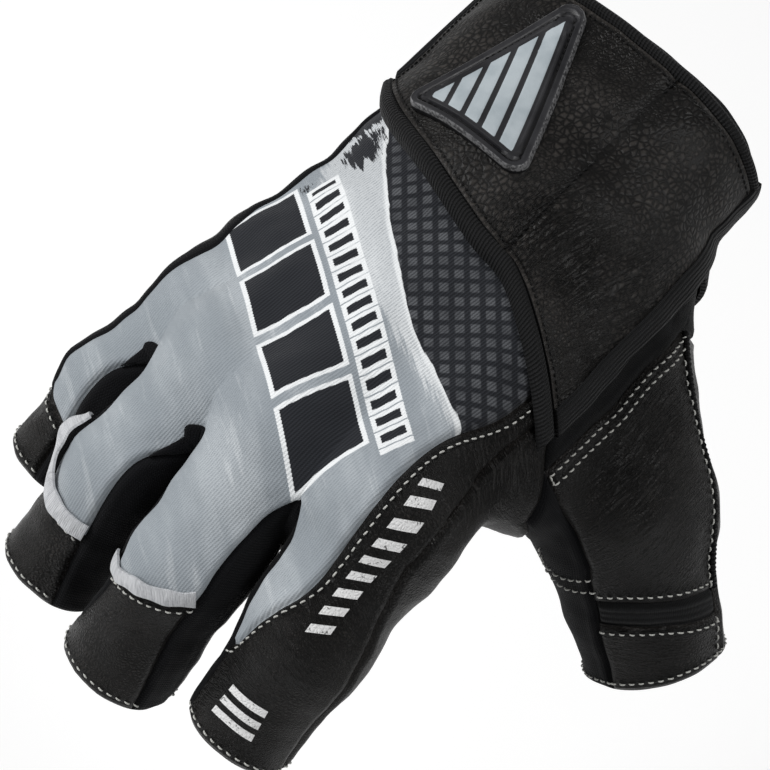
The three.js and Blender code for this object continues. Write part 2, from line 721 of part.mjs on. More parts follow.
const sideClothColumns = rootRows + 5; // from the leather's inner edge round to the palm side
function thumbPiece(fromRow, toRow, fromColumn, toColumn) {
  return thumbRows.slice(fromRow, toRow + 1).map((row) => row.slice(fromColumn, toColumn + 1));
}
const loopEnd = rootLoop.length - 1;
const thumbBack = (fromRow, toRow) => [thumbPiece(fromRow, toRow, 0, stitchColumns)];
addPiece("thumb_leather", solid(thumbBack(0, bandRow), 0, -leatherWall), leather, 0.7);
addPiece("thumb_elastic_band", solid(thumbBack(bandRow, tipRow), 0, -bandWall), stretch, 0.9);
addPiece("thumb_tip_leather", solid(thumbBack(tipRow, hemRow), 0, -leatherWall), leather, 0.7);
addPiece(
  "thumb_palm_leather",
  solid([thumbPiece(0, hemRow, stitchColumns, loopEnd - sideClothColumns)], 0, -leatherWall),
  leather,
  0.7,
);
addPiece(
  "thumb_side_cloth",
  solid([thumbPiece(0, hemRow, loopEnd - sideClothColumns, loopEnd)], 0, -stretchWall),
  stretch,
  0.95,
);

// Cuff: a tube from the wrist opening to the body panels and the thumb's stitched seam
const cuffFront = [
  ...backBody[0].slice(0, -1),
  ...sideBody[0].slice(0, -1),
  ...stripBody[0].slice(0, -1),
  ...root.stitched.slice(0, -1),
  ...root.heel.slice(0, -1),
  ...palmBody[0].slice().reverse(),
];
// Degrees round the wrist opening at the ends of those stretches, from the thumb side over the back
const wristTurns = [
  { columns: 4 * backColumns, from: 172, to: 30 },
  { columns: sideColumns, from: 30, to: 22 },
  { columns: sideColumns, from: 22, to: 12 },
  { columns: stitchColumns, from: 12, to: -18 },
  { columns: heelColumns, from: -18, to: -42 },
  { columns: 4 * palmColumns, from: -42, to: -188 },
];
const wristHalfBreadth = 0.36; // share of the hand's breadth
function wristPoint(degrees) {
  const angle = THREE.MathUtils.degToRad(degrees);
  const guide = at([wristHalfBreadth * Math.cos(angle), 0, Math.sin(angle) / 2]);
  for (let i = 0; i < settleSteps; i++) {
    guide.addScaledVector(normalAt(guide).setY(0).normalize(), -form(guide));
  }
  return guide;
}
const cuffRear = [wristPoint(wristTurns[0].from)];
wristTurns.forEach(({ columns, from, to }) => {
  for (let c = 1; c <= columns; c++) cuffRear.push(wristPoint(THREE.MathUtils.lerp(from, to, c / columns)));
});
cuffRear[cuffRear.length - 1] = cuffRear[0];
const cuffPatch = [cuffRear];
for (let r = 1; r < cuffRows; r++) {
  cuffPatch.push(cuffRear.map((rear, c) => settle(rear.clone().lerp(cuffFront[c], r / cuffRows))));
}
cuffPatch.push(cuffFront);
cuffPatch.forEach((row) => {
  row[row.length - 1] = row[0];
});
addPiece("cuff", solid([cuffPatch], 0, -cuffWall), neoprene, 0.9);

// Wrist strap: its rear and front edge from the strap end on the pinky side to the thumb side
const strapEdges = {
  rear: [[-0.36, -0.008, 0.2], [-0.16, -0.008, 0.5], [0, -0.008, 0.56], [0.16, -0.01, 0.52],
    [0.3, -0.012, 0.35], [0.365, -0.012, 0.05], [0.36, -0.012, -0.1]],
  front: [[-0.34, -0.235, 0.28], [-0.27, -0.275, 0.4], [-0.07, -0.32, 0.55], [0.1, -0.35, 0.55],
    [0.2, -0.36, 0.52], [0.33, -0.4, 0.45], [0.42, -0.435, 0.28], [0.47, -0.458, 0.12]],
};
const bridged = [0.5, 0.7]; // shares of the strap's length between which it starts to bridge hollows
const strapCurves = {
  rear: new THREE.CatmullRomCurve3(placesOf(strapEdges.rear), false, "centripetal"),
  front: new THREE.CatmullRomCurve3(placesOf(strapEdges.front), false, "centripetal"),
};
function strapPoint(along, width) {
  const rear = strapCurves.rear.getPointAt(along);
  const span = strapCurves.front.getPointAt(along).sub(rear);
  const share = width < 0 ? 1 + width / span.length() : width / span.length();
  const guide = rear.addScaledVector(span, share);
  const resting = settle(guide);
  // The strap is taut, so it bridges the hollow between the wrist and the thumb
  return form(guide) > 0 ? resting.lerp(guide, THREE.MathUtils.smoothstep(along, ...bridged)) : resting;
}
const strapLength = strapCurves.front.getLength();
const endShare = endBinding / strapLength;
const strapStops = [0, endShare];
for (let r = 1; r <= strapRows; r++) strapStops.push(THREE.MathUtils.lerp(endShare, 1, r / strapRows));
const strapGrid = strapStops.map((along) => {
  const span = strapCurves.rear.getPointAt(along).distanceTo(strapCurves.front.getPointAt(along));
  const row = [strapPoint(along, 0)];
  for (let c = 0; c <= strapColumns; c++) {
    row.push(strapPoint(along, THREE.MathUtils.lerp(rearBinding, span - frontBinding, c / strapColumns)));
  }
  row.push(strapPoint(along, span));
  return row;
});
// The strap end lies on the elastic, so the strap rises there by the elastic's thickness
const strapEndLine = [strapPoint(0, 0), strapPoint(0, -frontBinding)];
function strapRise(point) {
  const line = new THREE.Line3(...strapEndLine);
  const reach = line.closestPointToPoint(point, false, new THREE.Vector3()).distanceTo(point);
  return (elasticWall + seamGap) * (1 - THREE.MathUtils.smoothstep(reach, endOverlap, 2 * endOverlap));
}
const strapTop = (point) => strapLift + strapWall + strapRise(point);
const strapBottom = (point) => strapLift + strapRise(point);
function strapSection(fromRow, toRow, fromColumn, toColumn) {
  return [strapGrid.slice(fromRow, toRow + 1).map((row) => row.slice(fromColumn, toColumn + 1))];
}
const bindingTop = (point) => strapLift + bindingWall + strapRise(point);
const lastRow = strapGrid.length - 1;
const lastColumn = strapColumns + 2;
addPiece(
  "strap_leather",
  solid(strapSection(1, lastRow, 1, lastColumn - 1), strapTop, strapBottom),
  leather,
  0.6,
);
addPiece("strap_rear_binding", solid(strapSection(0, lastRow, 0, 1), bindingTop, strapBottom), stretch, 0.9);
addPiece(
  "strap_front_binding",
  solid(strapSection(0, lastRow, lastColumn - 1, lastColumn), bindingTop, strapBottom),
  stretch,
  0.9,
);
addPiece(
  "strap_end_binding",
  solid(strapSection(0, 1, 1, lastColumn - 1), bindingTop, strapBottom),
  stretch,
  0.8,
);

// Elastic part of the strap, from the leather's thumb side under the wrist to below the strap end
const elasticEdges = {
  rear: [[0.357, -0.014, -0.18], [0.28, -0.014, -0.4], [0, -0.014, -0.475], [-0.28, -0.014, -0.42],
    [-0.37, -0.014, -0.075], [-0.34, -0.014, 0.28], [-0.24, -0.014, 0.44]],
  front: [[0.425, -0.15, 0], [0.38, -0.155, -0.5], [0.28, -0.155, -0.65], [0, -0.155, -0.475],
    [-0.28, -0.155, -0.45], [-0.37, -0.155, -0.1], [-0.34, -0.155, 0.28], [-0.24, -0.155, 0.44]],
};
const elasticPatch = patch(
  [rail(placesOf(elasticEdges.rear), elasticRows), rail(placesOf(elasticEdges.front), elasticRows)],
  [elasticColumns],
);
addPiece("strap_elastic", solid([elasticPatch], strapLift + elasticWall, strapLift), stretch, 0.9);

// Rubber badge: a triangle with round corners on the strap leather
const badgeCorners = placesOf([[-0.247, -0.262, 0.45], [-0.117, 0.002, 0.52], [0.112, -0.268, 0.61]]);
const badgeCentre = badgeCorners.reduce((a, b) => a.clone().add(b)).multiplyScalar(1 / 3);
function badgeOutline() {
  const points = [];
  badgeCorners.forEach((corner, i) => {
    const next = badgeCorners[(i + 1) % 3];
    const before = badgeCorners[(i + 2) % 3].clone().sub(corner).normalize();
    const after = next.clone().sub(corner).normalize();
    const beyond = badgeCorners[(i + 2) % 3].clone().sub(next).normalize();
    const half = before.angleTo(after) / 2;
    const nextHalf = beyond.angleTo(after.clone().negate()) / 2;
    const bisector = before.clone().add(after).normalize();
    const centre = corner.clone().addScaledVector(bisector, badgeCorner / Math.sin(half));
    const first = corner.clone().addScaledVector(before, badgeCorner / Math.tan(half)).sub(centre);
    const second = corner.clone().addScaledVector(after, badgeCorner / Math.tan(half)).sub(centre);
    for (let step = 0; step <= badgeArcSteps; step++) {
      const swing = first.clone().lerp(second, step / badgeArcSteps).normalize();
      points.push(centre.clone().addScaledVector(swing, badgeCorner));
    }
    const sideStart = last(points);
    const sideEnd = next.clone().addScaledVector(after, -badgeCorner / Math.tan(nextHalf));
    for (let step = 1; step < badgeSideSteps; step++) {
      points.push(sideStart.clone().lerp(sideEnd, step / badgeSideSteps));
    }
  });
  return points;
}
const outline = badgeOutline();
outline.push(outline[0]);
const badgePatch = [];
for (let ring = 0; ring <= badgeRings; ring++) {
  const row = outline.map((point) => settle(badgeCentre.clone().lerp(point, ring / badgeRings)));
  row[row.length - 1] = row[0];
  badgePatch.push(row);
}
const badgeBottom = (point) => strapTop(point) + badgeLift;
const badgeTop = (point) => badgeBottom(point) + badgeWall;
addPiece("strap_badge", solid([badgePatch], badgeTop, badgeBottom), rubber, 0.5);

// Pull tapes: their middle lines as shares along and degrees round the finger
const tapeLines = {
  ring: [[0.71, 36], [0.715, 5], [0.7, -30], [0.63, -56], [0.5, -66]],
  middle: [[0.55, 54], [0.6, 20], [0.63, -5], [0.66, -30], [0.66, -48]],
};
Object.entries(tapeLines).forEach(([name, line]) => {
  const middle = rail(line.map(([share, degrees]) => digitPlace(name, share, degrees)), tapeRows);
  const rows = middle.map((point, r) => {
    const ahead = middle[Math.min(r + 1, tapeRows)].clone().sub(middle[Math.max(r - 1, 0)]);
    const sideways = ahead.cross(normalAt(point)).normalize();
    const rim = [-0.5, 0.5].map((half) => settle(point.clone().addScaledVector(sideways, half * tapeWidth)));
    return across(rim, [tapeColumns]);
  });
  addPiece(name + "_pull_tape", solid([rows], tapeLift + tapeWall, tapeLift), tapeGrey, 0.8);
});

export default glove;
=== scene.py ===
import math
import bpy
import numpy as np
from mathutils import Matrix, Vector, kdtree


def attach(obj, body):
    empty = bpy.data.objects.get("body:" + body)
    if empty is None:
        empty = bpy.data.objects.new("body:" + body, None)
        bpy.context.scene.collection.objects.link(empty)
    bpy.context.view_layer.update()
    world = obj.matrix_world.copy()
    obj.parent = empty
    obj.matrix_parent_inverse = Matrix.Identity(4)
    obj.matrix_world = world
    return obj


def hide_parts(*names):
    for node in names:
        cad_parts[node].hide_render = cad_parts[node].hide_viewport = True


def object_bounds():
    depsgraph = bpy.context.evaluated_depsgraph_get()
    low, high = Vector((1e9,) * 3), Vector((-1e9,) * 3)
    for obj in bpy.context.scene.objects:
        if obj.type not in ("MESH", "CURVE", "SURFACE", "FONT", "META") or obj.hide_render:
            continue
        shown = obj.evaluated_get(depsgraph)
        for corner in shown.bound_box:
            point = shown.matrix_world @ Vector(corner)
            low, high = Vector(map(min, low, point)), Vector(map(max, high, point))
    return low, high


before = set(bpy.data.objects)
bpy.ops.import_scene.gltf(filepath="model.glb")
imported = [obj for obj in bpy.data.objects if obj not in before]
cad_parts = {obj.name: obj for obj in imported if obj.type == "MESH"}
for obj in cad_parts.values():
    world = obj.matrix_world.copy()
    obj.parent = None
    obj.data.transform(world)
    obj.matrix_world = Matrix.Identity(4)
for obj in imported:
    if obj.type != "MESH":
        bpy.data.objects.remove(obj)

cadBox = [list(corner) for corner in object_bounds()]
millimetre = 0.001
density = 5  # mesh steps for each step of the CAD panels
print("frame loaded")

# The hand that the glove is cut for, in millimetres, as in the CAD part
handLength = 200.0
handBreadth = 100.0
handDepth = 40.0
handSizes = np.array([handBreadth, handLength, handDepth])
seamWall = {"cloth": 1.5, "leather": 1.7, "stretch": 1.3, "neoprene": 2.2}

# Bones: ends as shares of breadth, length and depth, with radii as shares of the depth
bodyBones = [
    {"from": (-0.17, 0.07, 0), "fromRadius": 0.475, "to": (-0.18, -0.25, -0.025), "toRadius": 0.475},
    {"from": (0.155, 0.07, 0), "fromRadius": 0.5, "to": (0.18, -0.25, -0.05), "toRadius": 0.49},
    {"from": (0, 0.07, 0.025), "fromRadius": 0.5, "to": (0, -0.25, 0.05), "toRadius": 0.49},
    {"from": (0.16, -0.25, 0.075), "fromRadius": 0.425, "to": (0.33, -0.61, 0.075), "toRadius": 0.425},
    {"from": (0.05, -0.25, 0.125), "fromRadius": 0.425, "to": (0.065, -0.615, 0.15), "toRadius": 0.39},
    {"from": (-0.06, -0.25, 0.1), "fromRadius": 0.425, "to": (-0.17, -0.59, 0.025), "toRadius": 0.36},
    {"from": (-0.13, -0.25, -0.025), "fromRadius": 0.4, "to": (-0.33, -0.535, -0.175), "toRadius": 0.325},
    {"from": (-0.18, -0.26, -0.15), "fromRadius": 0.375, "to": (-0.295, -0.44, -0.2), "toRadius": 0.375},
]
thumbRootBones = [
    {"from": (0.3, -0.235, -0.3), "fromRadius": 0.5, "to": (0.6, -0.365, -0.75), "toRadius": 0.51},
    {"from": (0.3, -0.37, -0.15), "fromRadius": 0.35, "to": (0.43, -0.445, -0.275), "toRadius": 0.29},
]
digits = {
    "pinky": [((-0.33, -0.535, -0.175), 0.325), ((-0.425, -0.655, -0.53), 0.28), ((-0.475, -0.748, -0.975), 0.275)],
    "ring": [((-0.17, -0.59, 0.025), 0.36), ((-0.224, -0.74, -0.35), 0.295), ((-0.265, -0.845, -0.95), 0.32)],
    "middle": [((0.065, -0.615, 0.15), 0.39), ((0.052, -0.775, -0.25), 0.315), ((0.015, -0.885, -0.9), 0.33)],
    "index": [((0.33, -0.61, 0.075), 0.425), ((0.36, -0.755, -0.275), 0.335), ((0.335, -0.86, -0.775), 0.315)],
    "thumb": [((0.6, -0.365, -0.75), 0.51), ((0.835, -0.43, -1.475), 0.395)],
}
blends = {"body": 0.25, "finger": 0.15, "crotch": 0.01, "thumb": 0.5}  # shares of the depth


def at(shares):
    return np.asarray(shares, float) * handSizes


def boneMaker(start, startRadius, end, endRadius):
    start = at(start)
    axis = at(end) - start
    first, second = startRadius * handDepth, endRadius * handDepth
    square = axis @ axis
    drop = first - second
    slant = square - drop * drop

    def distance(points):
        offset = points - start
        along = offset @ axis
        beyond = along - square
        side = offset * square - along[..., None] * axis
        side2 = (side * side).sum(-1)
        along2 = along * along * square
        beyond2 = beyond * beyond * square
        k = np.sign(drop) * drop * drop * side2
        cone = (np.sqrt(side2 * slant / square) + along * drop) / square - first
        nearStart = np.sqrt(side2 + along2) / square - first
        nearEnd = np.sqrt(side2 + beyond2) / square - second
        cone = np.where(np.sign(along) * slant * along2 < k, nearStart, cone)
        return np.where(np.sign(beyond) * slant * beyond2 > k, nearEnd, cone)

    return distance


def melt(a, b, reach):
    h = np.maximum(reach - np.abs(a - b), 0) / reach
    return np.minimum(a, b) - h * h * reach / 4


def meltAll(parts, reach):
    def distance(points):
        result = parts[0](points)
        for part in parts[1:]:
            result = melt(result, part(points), reach * handDepth)
        return result

    return distance


def boneParts(rows):
    return [boneMaker(row["from"], row["fromRadius"], row["to"], row["toRadius"]) for row in rows]


bodyForm = meltAll(boneParts(bodyBones), blends["body"])
rootForms = boneParts(thumbRootBones)
digitForms = {
    name: meltAll([boneMaker(*joints[i], *joints[i + 1]) for i in range(len(joints) - 1)], blends["finger"])
    for name, joints in digits.items()
}
fingersForm = meltAll(list(digitForms.values()), blends["crotch"])


def form(points):
    body = bodyForm(points)
    for part in rootForms:
        body = melt(body, part(points), blends["thumb"] * handDepth)
    return melt(body, fingersForm(points), blends["finger"] * handDepth)


probe = 0.05
tetrahedron = np.array([(1, -1, -1), (-1, -1, 1), (-1, 1, -1), (1, 1, 1)], float)


def unit(vectors):
    return vectors / np.maximum(np.linalg.norm(vectors, axis=-1, keepdims=True), 1e-9)


def normalAt(points, shape=form):
    return unit(sum(corner * shape(points + probe * corner)[..., None] for corner in tetrahedron))


def hump(distance, width):
    return np.exp(-((distance / width) ** 2))


settleSteps = 9
longestStep = 5.0


def settle(points, shape=form):
    for _ in range(settleSteps):
        distance = np.clip(shape(points), -longestStep, longestStep)
        points = points - normalAt(points, shape) * distance[..., None]
    return points


up = np.array([0.0, 0, 1])
jointSpread = 0.25


def digitPlace(name, share, degrees):
    joints = at([row[0] for row in digits[name]])
    radii = np.array([row[1] for row in digits[name]]) * handDepth
    share, degrees = np.broadcast_arrays(np.asarray(share, float), np.asarray(degrees, float))
    lengths = np.linalg.norm(np.diff(joints, axis=0), axis=1)
    ways = unit(np.diff(joints, axis=0))
    firstShare = lengths[0] / lengths.sum()
    bone = (share > firstShare).astype(int) if len(lengths) > 1 else np.zeros(share.shape, int)
    run = share * lengths.sum() - bone * lengths[0]
    direction = ways[bone]
    centre = joints[bone] + direction * run[..., None]
    if len(lengths) > 1:
        turn = np.maximum(0, 1 - np.abs(share - firstShare) / jointSpread) / 2
        direction = unit(direction + (ways[1 - bone] - direction) * turn[..., None])
    across = unit(np.cross(up, direction))
    over = np.cross(direction, across)
    boneShare = run / lengths[bone]
    radius = radii[bone] + (radii[bone + 1] - radii[bone]) * boneShare
    angle = np.radians(degrees)
    side = over * np.cos(angle)[..., None] + across * np.sin(angle)[..., None]
    return settle(centre + side * radius[..., None])


def curveAt(keys, shares):
    keys = np.asarray(keys, float)
    shares = np.atleast_1d(shares)
    count = len(keys) - 1
    place = np.clip(shares, 0, 1) * count
    i = np.minimum(place.astype(int), count - 1)
    w = (place - i)[:, None]
    wide = np.vstack([2 * keys[0] - keys[1], keys, 2 * keys[-1] - keys[-2]])
    p = [wide[i + k] for k in range(4)]
    d = [np.maximum(np.linalg.norm(p[k + 1] - p[k], axis=1) ** 0.5, 1e-4)[:, None] for k in range(3)]
    leave = ((p[1] - p[0]) / d[0] - (p[2] - p[0]) / (d[0] + d[1]) + (p[2] - p[1]) / d[1]) * d[1]
    arrive = ((p[2] - p[1]) / d[1] - (p[3] - p[1]) / (d[1] + d[2]) + (p[3] - p[2]) / d[2]) * d[1]
    square = -3 * p[1] + 3 * p[2] - 2 * leave - arrive
    cube = 2 * p[1] - 2 * p[2] + leave + arrive
    return p[1] + leave * w + square * w**2 + cube * w**3


def lengthsAlong(line):
    return np.concatenate([[0], np.cumsum(np.linalg.norm(np.diff(line, axis=0), axis=1))])


def pointsAt(line, stops):
    # Points on a line at those distances from its start
    reach = lengthsAlong(line)
    return np.stack([np.interp(stops, reach, line[:, k]) for k in range(3)], 1)


curveSamples = np.linspace(0, 1, 401)


def evenShares(keys, shares):
    reach = lengthsAlong(curveAt(keys, curveSamples))
    return np.interp(np.asarray(shares) * reach[-1], reach, curveSamples)


# Places along an edge, in steps of the CAD panels, with a close step beside each end of a stretch
closeStep = 0.3


def spans(*counts):
    places = [0.0]
    base = 0
    for count in counts:
        inner = np.arange(1, count * density) / density
        close = closeStep / density
        places += [base + close, *(base + inner), base + count - close, base + count]
        base += count
    return np.array(places)


def steps(*counts):
    return sum(count * density + 2 for count in counts)


def rail(keys, *counts):
    return settle(curveAt(keys, evenShares(keys, spans(*counts) / sum(counts))))


def patch(rails, columns):
    parts = [rails[0][:, None]]
    for left, right, counts in zip(rails, rails[1:], columns):
        shares = (spans(*counts) / sum(counts))[1:-1, None]
        parts += [settle(left[:, None] + (right - left)[:, None] * shares), right[:, None]]
    return np.concatenate(parts, 1)


# Rows and columns of the CAD panels
bodyRows = 14
rootRows = 9
clothRows = 5
capRows = 3
cuffRows = 8
backColumns = 5
sideColumns = 3
palmColumns = 3  # across half of a finger's share
wallColumns = 5
stitchColumns = 8
heelColumns = 3
bodyCounts = (rootRows, bodyRows - rootRows)
fingerCounts = (clothRows, capRows)

backSeams = {
    "pinkySide": [(-0.34, -0.2, 0.15), (-0.37, -0.375, 0.075), (-0.425, -0.52, 0.025)],
    "pinkyRing": [(-0.21, -0.255, 0.45), (-0.3, -0.46, 0.25), (-0.365, -0.62, -0.1)],
    "ringMiddle": [(-0.02, -0.3, 0.55), (-0.08, -0.5, 0.5), (-0.12, -0.685, 0.1)],
    "middleIndex": [(0.18, -0.32, 0.55), (0.2, -0.52, 0.5), (0.2, -0.68, 0.25)],
    "indexCloth": [(0.42, -0.4, 0.3), (0.4, -0.475, 0.35), (0.36, -0.56, 0.5)],
    "indexLeather": [(0.46, -0.42, 0.2), (0.45, -0.485, 0.25), (0.455, -0.54, 0.28), (0.48, -0.605, 0.33)],
}
palmSeams = {
    "pinkyEdge": [(-0.37, -0.2, -0.2), (-0.41, -0.38, -0.35), (-0.46, -0.52, -0.45)],
    "pinkyRing": [(-0.22, -0.22, -0.45), (-0.23, -0.45, -0.6), (-0.25, -0.64, -0.62)],
    "ringMiddle": [(0, -0.23, -0.45), (-0.03, -0.47, -0.4), (-0.055, -0.7, -0.48)],
    "middleIndex": [(0.2, -0.22, -0.55), (0.19, -0.47, -0.4), (0.186, -0.705, -0.4)],
}
rootSeams = {
    "stitched": [
        (0.52, -0.46, 0.025), (0.52, -0.405, 0.025), (0.52, -0.345, 0), (0.51, -0.28, 0), (0.5, -0.205, -0.1),
    ],
    "heel": [(0.5, -0.205, -0.1), (0.46, -0.19, -0.45), (0.36, -0.19, -0.7)],
    "palm": [
        (0.36, -0.19, -0.7), (0.39, -0.28, -0.95), (0.42, -0.36, -1), (0.46, -0.43, -0.8), (0.53, -0.498, -0.25),
    ],
    "web": [(0.52, -0.46, 0.025), (0.54, -0.48, -0.1), (0.53, -0.498, -0.25)],
}
indexPalmStart = (0.5, -0.565, -0.2)
edgeStops = (2, clothRows, clothRows + capRows)
backEdges = {
    "pinkyLeft": ("pinky", [(0.42, -58), (0.68, -56), (1, -56)]),
    "pinkyRight": ("pinky", [(0.42, 12), (0.73, 18), (1, 26)]),
    "ringLeft": ("ring", [(0.42, -58), (0.68, -64), (1, -72)]),
    "ringRight": ("ring", [(0.4, 27), (0.7, 34), (1, 47)]),
    "middleLeft": ("middle", [(0.38, -64), (0.66, -42), (1, -72)]),
    "middleRight": ("middle", [(0.3, 48), (0.54, 50), (1, 66)]),
    "indexLeft": ("index", [(0.37, -57), (0.68, -48), (1, -50)]),
    "indexLeather": ("index", [(0.3, 63), (0.62, 78), (1, 100)]),
    "indexPalm": ("index", [(0.3, 122), (0.62, 130), (1, 138)]),
}
clothEdge = [(0.36, -4), (0.655, -37)]
tipEdge = [(0.82, -12), (1, 22)]
startPlaces = {
    "pinkySide": ("pinky", 0.25, -58), "pinkyEdge": ("pinky", 0.38, -150), "indexCloth": ("index", 0.17, 3),
    "indexLeather": ("index", 0.12, 52), "indexPalm": ("index", 0.12, 112),
}
palmEdges = {
    "pinkyRight": ("pinky", [(0.62, 104), (0.8, 112), (1, 116)]),
    "ringLeft": ("ring", [(0.6, -108), (0.78, -112), (1, -116)]),
    "ringRight": ("ring", [(0.6, 106), (0.78, 112), (1, 116)]),
    "middleLeft": ("middle", [(0.6, -106), (0.78, -112), (1, -116)]),
    "middleRight": ("middle", [(0.6, 106), (0.78, 112), (1, 116)]),
    "indexLeft": ("index", [(0.6, -106), (0.78, -112), (1, -116)]),
}

# Between two fingers the wall faces the way that is set here, because the form has no clear slope there
facings = {}


def keysOf(points):
    return [tuple(row) for row in np.round(points.reshape(-1, 3) * 1000).astype(int)]


def setFacing(points, directions):
    directions = np.broadcast_to(unit(directions), points.shape).reshape(-1, 3)
    facings.update(zip(keysOf(points), directions))


gaps = [
    {"name": "fourchette_ring_pinky", "digits": ("pinky", "ring"), "edges": ("pinkyRight", "ringLeft")},
    {"name": "fourchette_middle_ring", "digits": ("ring", "middle"), "edges": ("ringRight", "middleLeft")},
    {"name": "fourchette_index_middle", "digits": ("middle", "index"), "edges": ("middleRight", "indexLeft")},
]
for gap in gaps:
    first, second = [at([digits[name][0][0], digits[name][1][0]]) for name in gap["digits"]]
    gap["ahead"] = unit(unit(first[1] - first[0]) + unit(second[1] - second[0]))
    gap["sideways"] = unit(second[0] - first[0])


def lean(gap, points):
    first, second = [digitForms[name](points) for name in gap["digits"]]
    return ((second - first) / 2)[..., None] * gap["sideways"]


grooveSteps = 60
settled = 0.1


def march(gap, point, outwards, inwards):
    for _ in range(grooveSteps):
        point = point + lean(gap, point)
        distance = form(point)
        point = point - (outwards if distance < 0 else inwards) * distance
    return point


def seamToGap(seam, gap, direction):
    keys = at(seam)
    upright = march(gap, keys[-1], direction, direction)
    keys[-1] = upright if abs(form(upright)) < settled else march(gap, keys[-1], direction, gap["ahead"])
    return rail(keys, *bodyCounts)


def seamRail(seam, start=None):
    keys = at(seam)
    if start:
        keys = np.vstack([keys, digitPlace(*startPlaces[start])])
    return rail(keys, *bodyCounts)


back = {
    "pinkySide": seamRail(backSeams["pinkySide"], "pinkySide"),
    "pinkyRing": seamToGap(backSeams["pinkyRing"], gaps[0], up),
    "ringMiddle": seamToGap(backSeams["ringMiddle"], gaps[1], up),
    "middleIndex": seamToGap(backSeams["middleIndex"], gaps[2], up),
    "indexCloth": seamRail(backSeams["indexCloth"], "indexCloth"),
    "indexLeather": seamRail(backSeams["indexLeather"], "indexLeather"),
}
palm = {
    "pinkyEdge": seamRail(palmSeams["pinkyEdge"], "pinkyEdge"),
    "pinkyRing": seamToGap(palmSeams["pinkyRing"], gaps[0], -up),
    "ringMiddle": seamToGap(palmSeams["ringMiddle"], gaps[1], -up),
    "middleIndex": seamToGap(palmSeams["middleIndex"], gaps[2], -up),
}
root = {
    "stitched": rail(at(rootSeams["stitched"]), stitchColumns),
    "heel": rail(at(rootSeams["heel"]), heelColumns),
    "palm": rail(at(rootSeams["palm"]), rootRows),
    "web": rail(at(rootSeams["web"]), rootRows),
}
root["heel"][0] = root["stitched"][-1]
root["palm"][0] = root["heel"][-1]
root["web"][0] = root["stitched"][0]
root["web"][-1] = root["palm"][-1]
indexPalmKeys = [root["palm"][-1], at(indexPalmStart), digitPlace(*startPlaces["indexPalm"])]
indexPalmRail = rail(np.array(indexPalmKeys), bodyRows - rootRows)[1:]
stripEdge = np.vstack([root["web"], indexPalmRail])
palmEdge = np.vstack([root["palm"], indexPalmRail])


def fingerEdge(start, name, keys, counts=fingerCounts, stops=edgeStops):
    places = np.vstack([start, digitPlace(name, *np.array(keys, float).T)])
    shares = np.interp(spans(*counts), (0, *stops), np.linspace(0, 1, len(places)))
    points = settle(curveAt(places, shares))
    points[0] = start
    return points


bodyEnds = {
    "pinkyLeft": back["pinkySide"], "pinkyRight": back["pinkyRing"], "ringLeft": back["pinkyRing"],
    "ringRight": back["ringMiddle"], "middleLeft": back["ringMiddle"], "middleRight": back["middleIndex"],
    "indexLeft": back["middleIndex"], "indexLeather": back["indexLeather"], "indexPalm": stripEdge,
}
edge = {name: fingerEdge(bodyEnds[name][-1], *backEdges[name]) for name in backEdges}
edge["indexCloth"] = fingerEdge(back["indexCloth"][-1], "index", clothEdge, (clothRows,), edgeStops[:2])
palmEnds = {
    "pinkyRight": palm["pinkyRing"], "ringLeft": palm["pinkyRing"], "ringRight": palm["ringMiddle"],
    "middleLeft": palm["ringMiddle"], "middleRight": palm["middleIndex"], "indexLeft": palm["middleIndex"],
}
front = {name: fingerEdge(palmEnds[name][-1], *palmEdges[name]) for name in palmEdges}
for gap in gaps:
    for digit, name in zip(gap["digits"], gap["edges"]):
        for points in (edge[name], front[name]):
            setFacing(points[1:], normalAt(points[1:], digitForms[digit]))
    setFacing(edge[gap["edges"][0]][:1], gap["ahead"] + up)
    setFacing(front[gap["edges"][0]][:1], gap["ahead"] - up)
print("seams laid out")

# Patches: rows of points, as in the CAD part
capStart = steps(clothRows)


def fingerPatch(left, right, columns, bodyRow=None):
    rows = patch([left, right], [(columns,)])
    if bodyRow is not None:
        rows[0] = bodyRow
    return rows


def bodyShare(body, number, *columns):
    width = steps(*columns)
    return body[-1, number * width : (number + 1) * width + 1]


clothNames = ("pinkySide", "pinkyRing", "ringMiddle", "middleIndex", "indexCloth")
backBody = patch([back[name] for name in clothNames], [(backColumns,)] * 4)
clothSides = [
    ("pinkyLeft", "pinkyRight"), ("ringLeft", "ringRight"), ("middleLeft", "middleRight"),
    ("indexLeft", "indexCloth"),
]
clothFingers = []
for number, sides in enumerate(clothSides):
    left, right = [edge[name][: capStart + 1] for name in sides]
    clothFingers.append(fingerPatch(left, right, backColumns, bodyShare(backBody, number, backColumns)))
capPatches = {
    name: fingerPatch(edge[name + "Left"][capStart:], edge[name + "Right"][capStart:], backColumns)
    for name in ("pinky", "ring", "middle")
}
sideBody = patch([back["indexCloth"], back["indexLeather"]], [(sideColumns,)])
sideFinger = fingerPatch(edge["indexCloth"], edge["indexLeather"][: capStart + 1], sideColumns, sideBody[-1])
tipMiddle = fingerEdge(edge["indexCloth"][-1], "index", tipEdge, (capRows,), (1, capRows))
tipRails = [edge["indexLeft"][capStart:], tipMiddle, edge["indexLeather"][capStart:]]
indexTip = patch(tipRails, [(backColumns,), (sideColumns,)])
indexTip[0] = np.vstack([clothFingers[3][-1], sideFinger[-1][1:]])
palmNames = ("pinkyEdge", "pinkyRing", "ringMiddle", "middleIndex")
wholeFinger = (palmColumns, palmColumns)
palmBody = patch(
    [back["pinkySide"], *[palm[name] for name in palmNames], palmEdge],
    [(palmColumns,), (palmColumns,), wholeFinger, wholeFinger, wholeFinger],
)
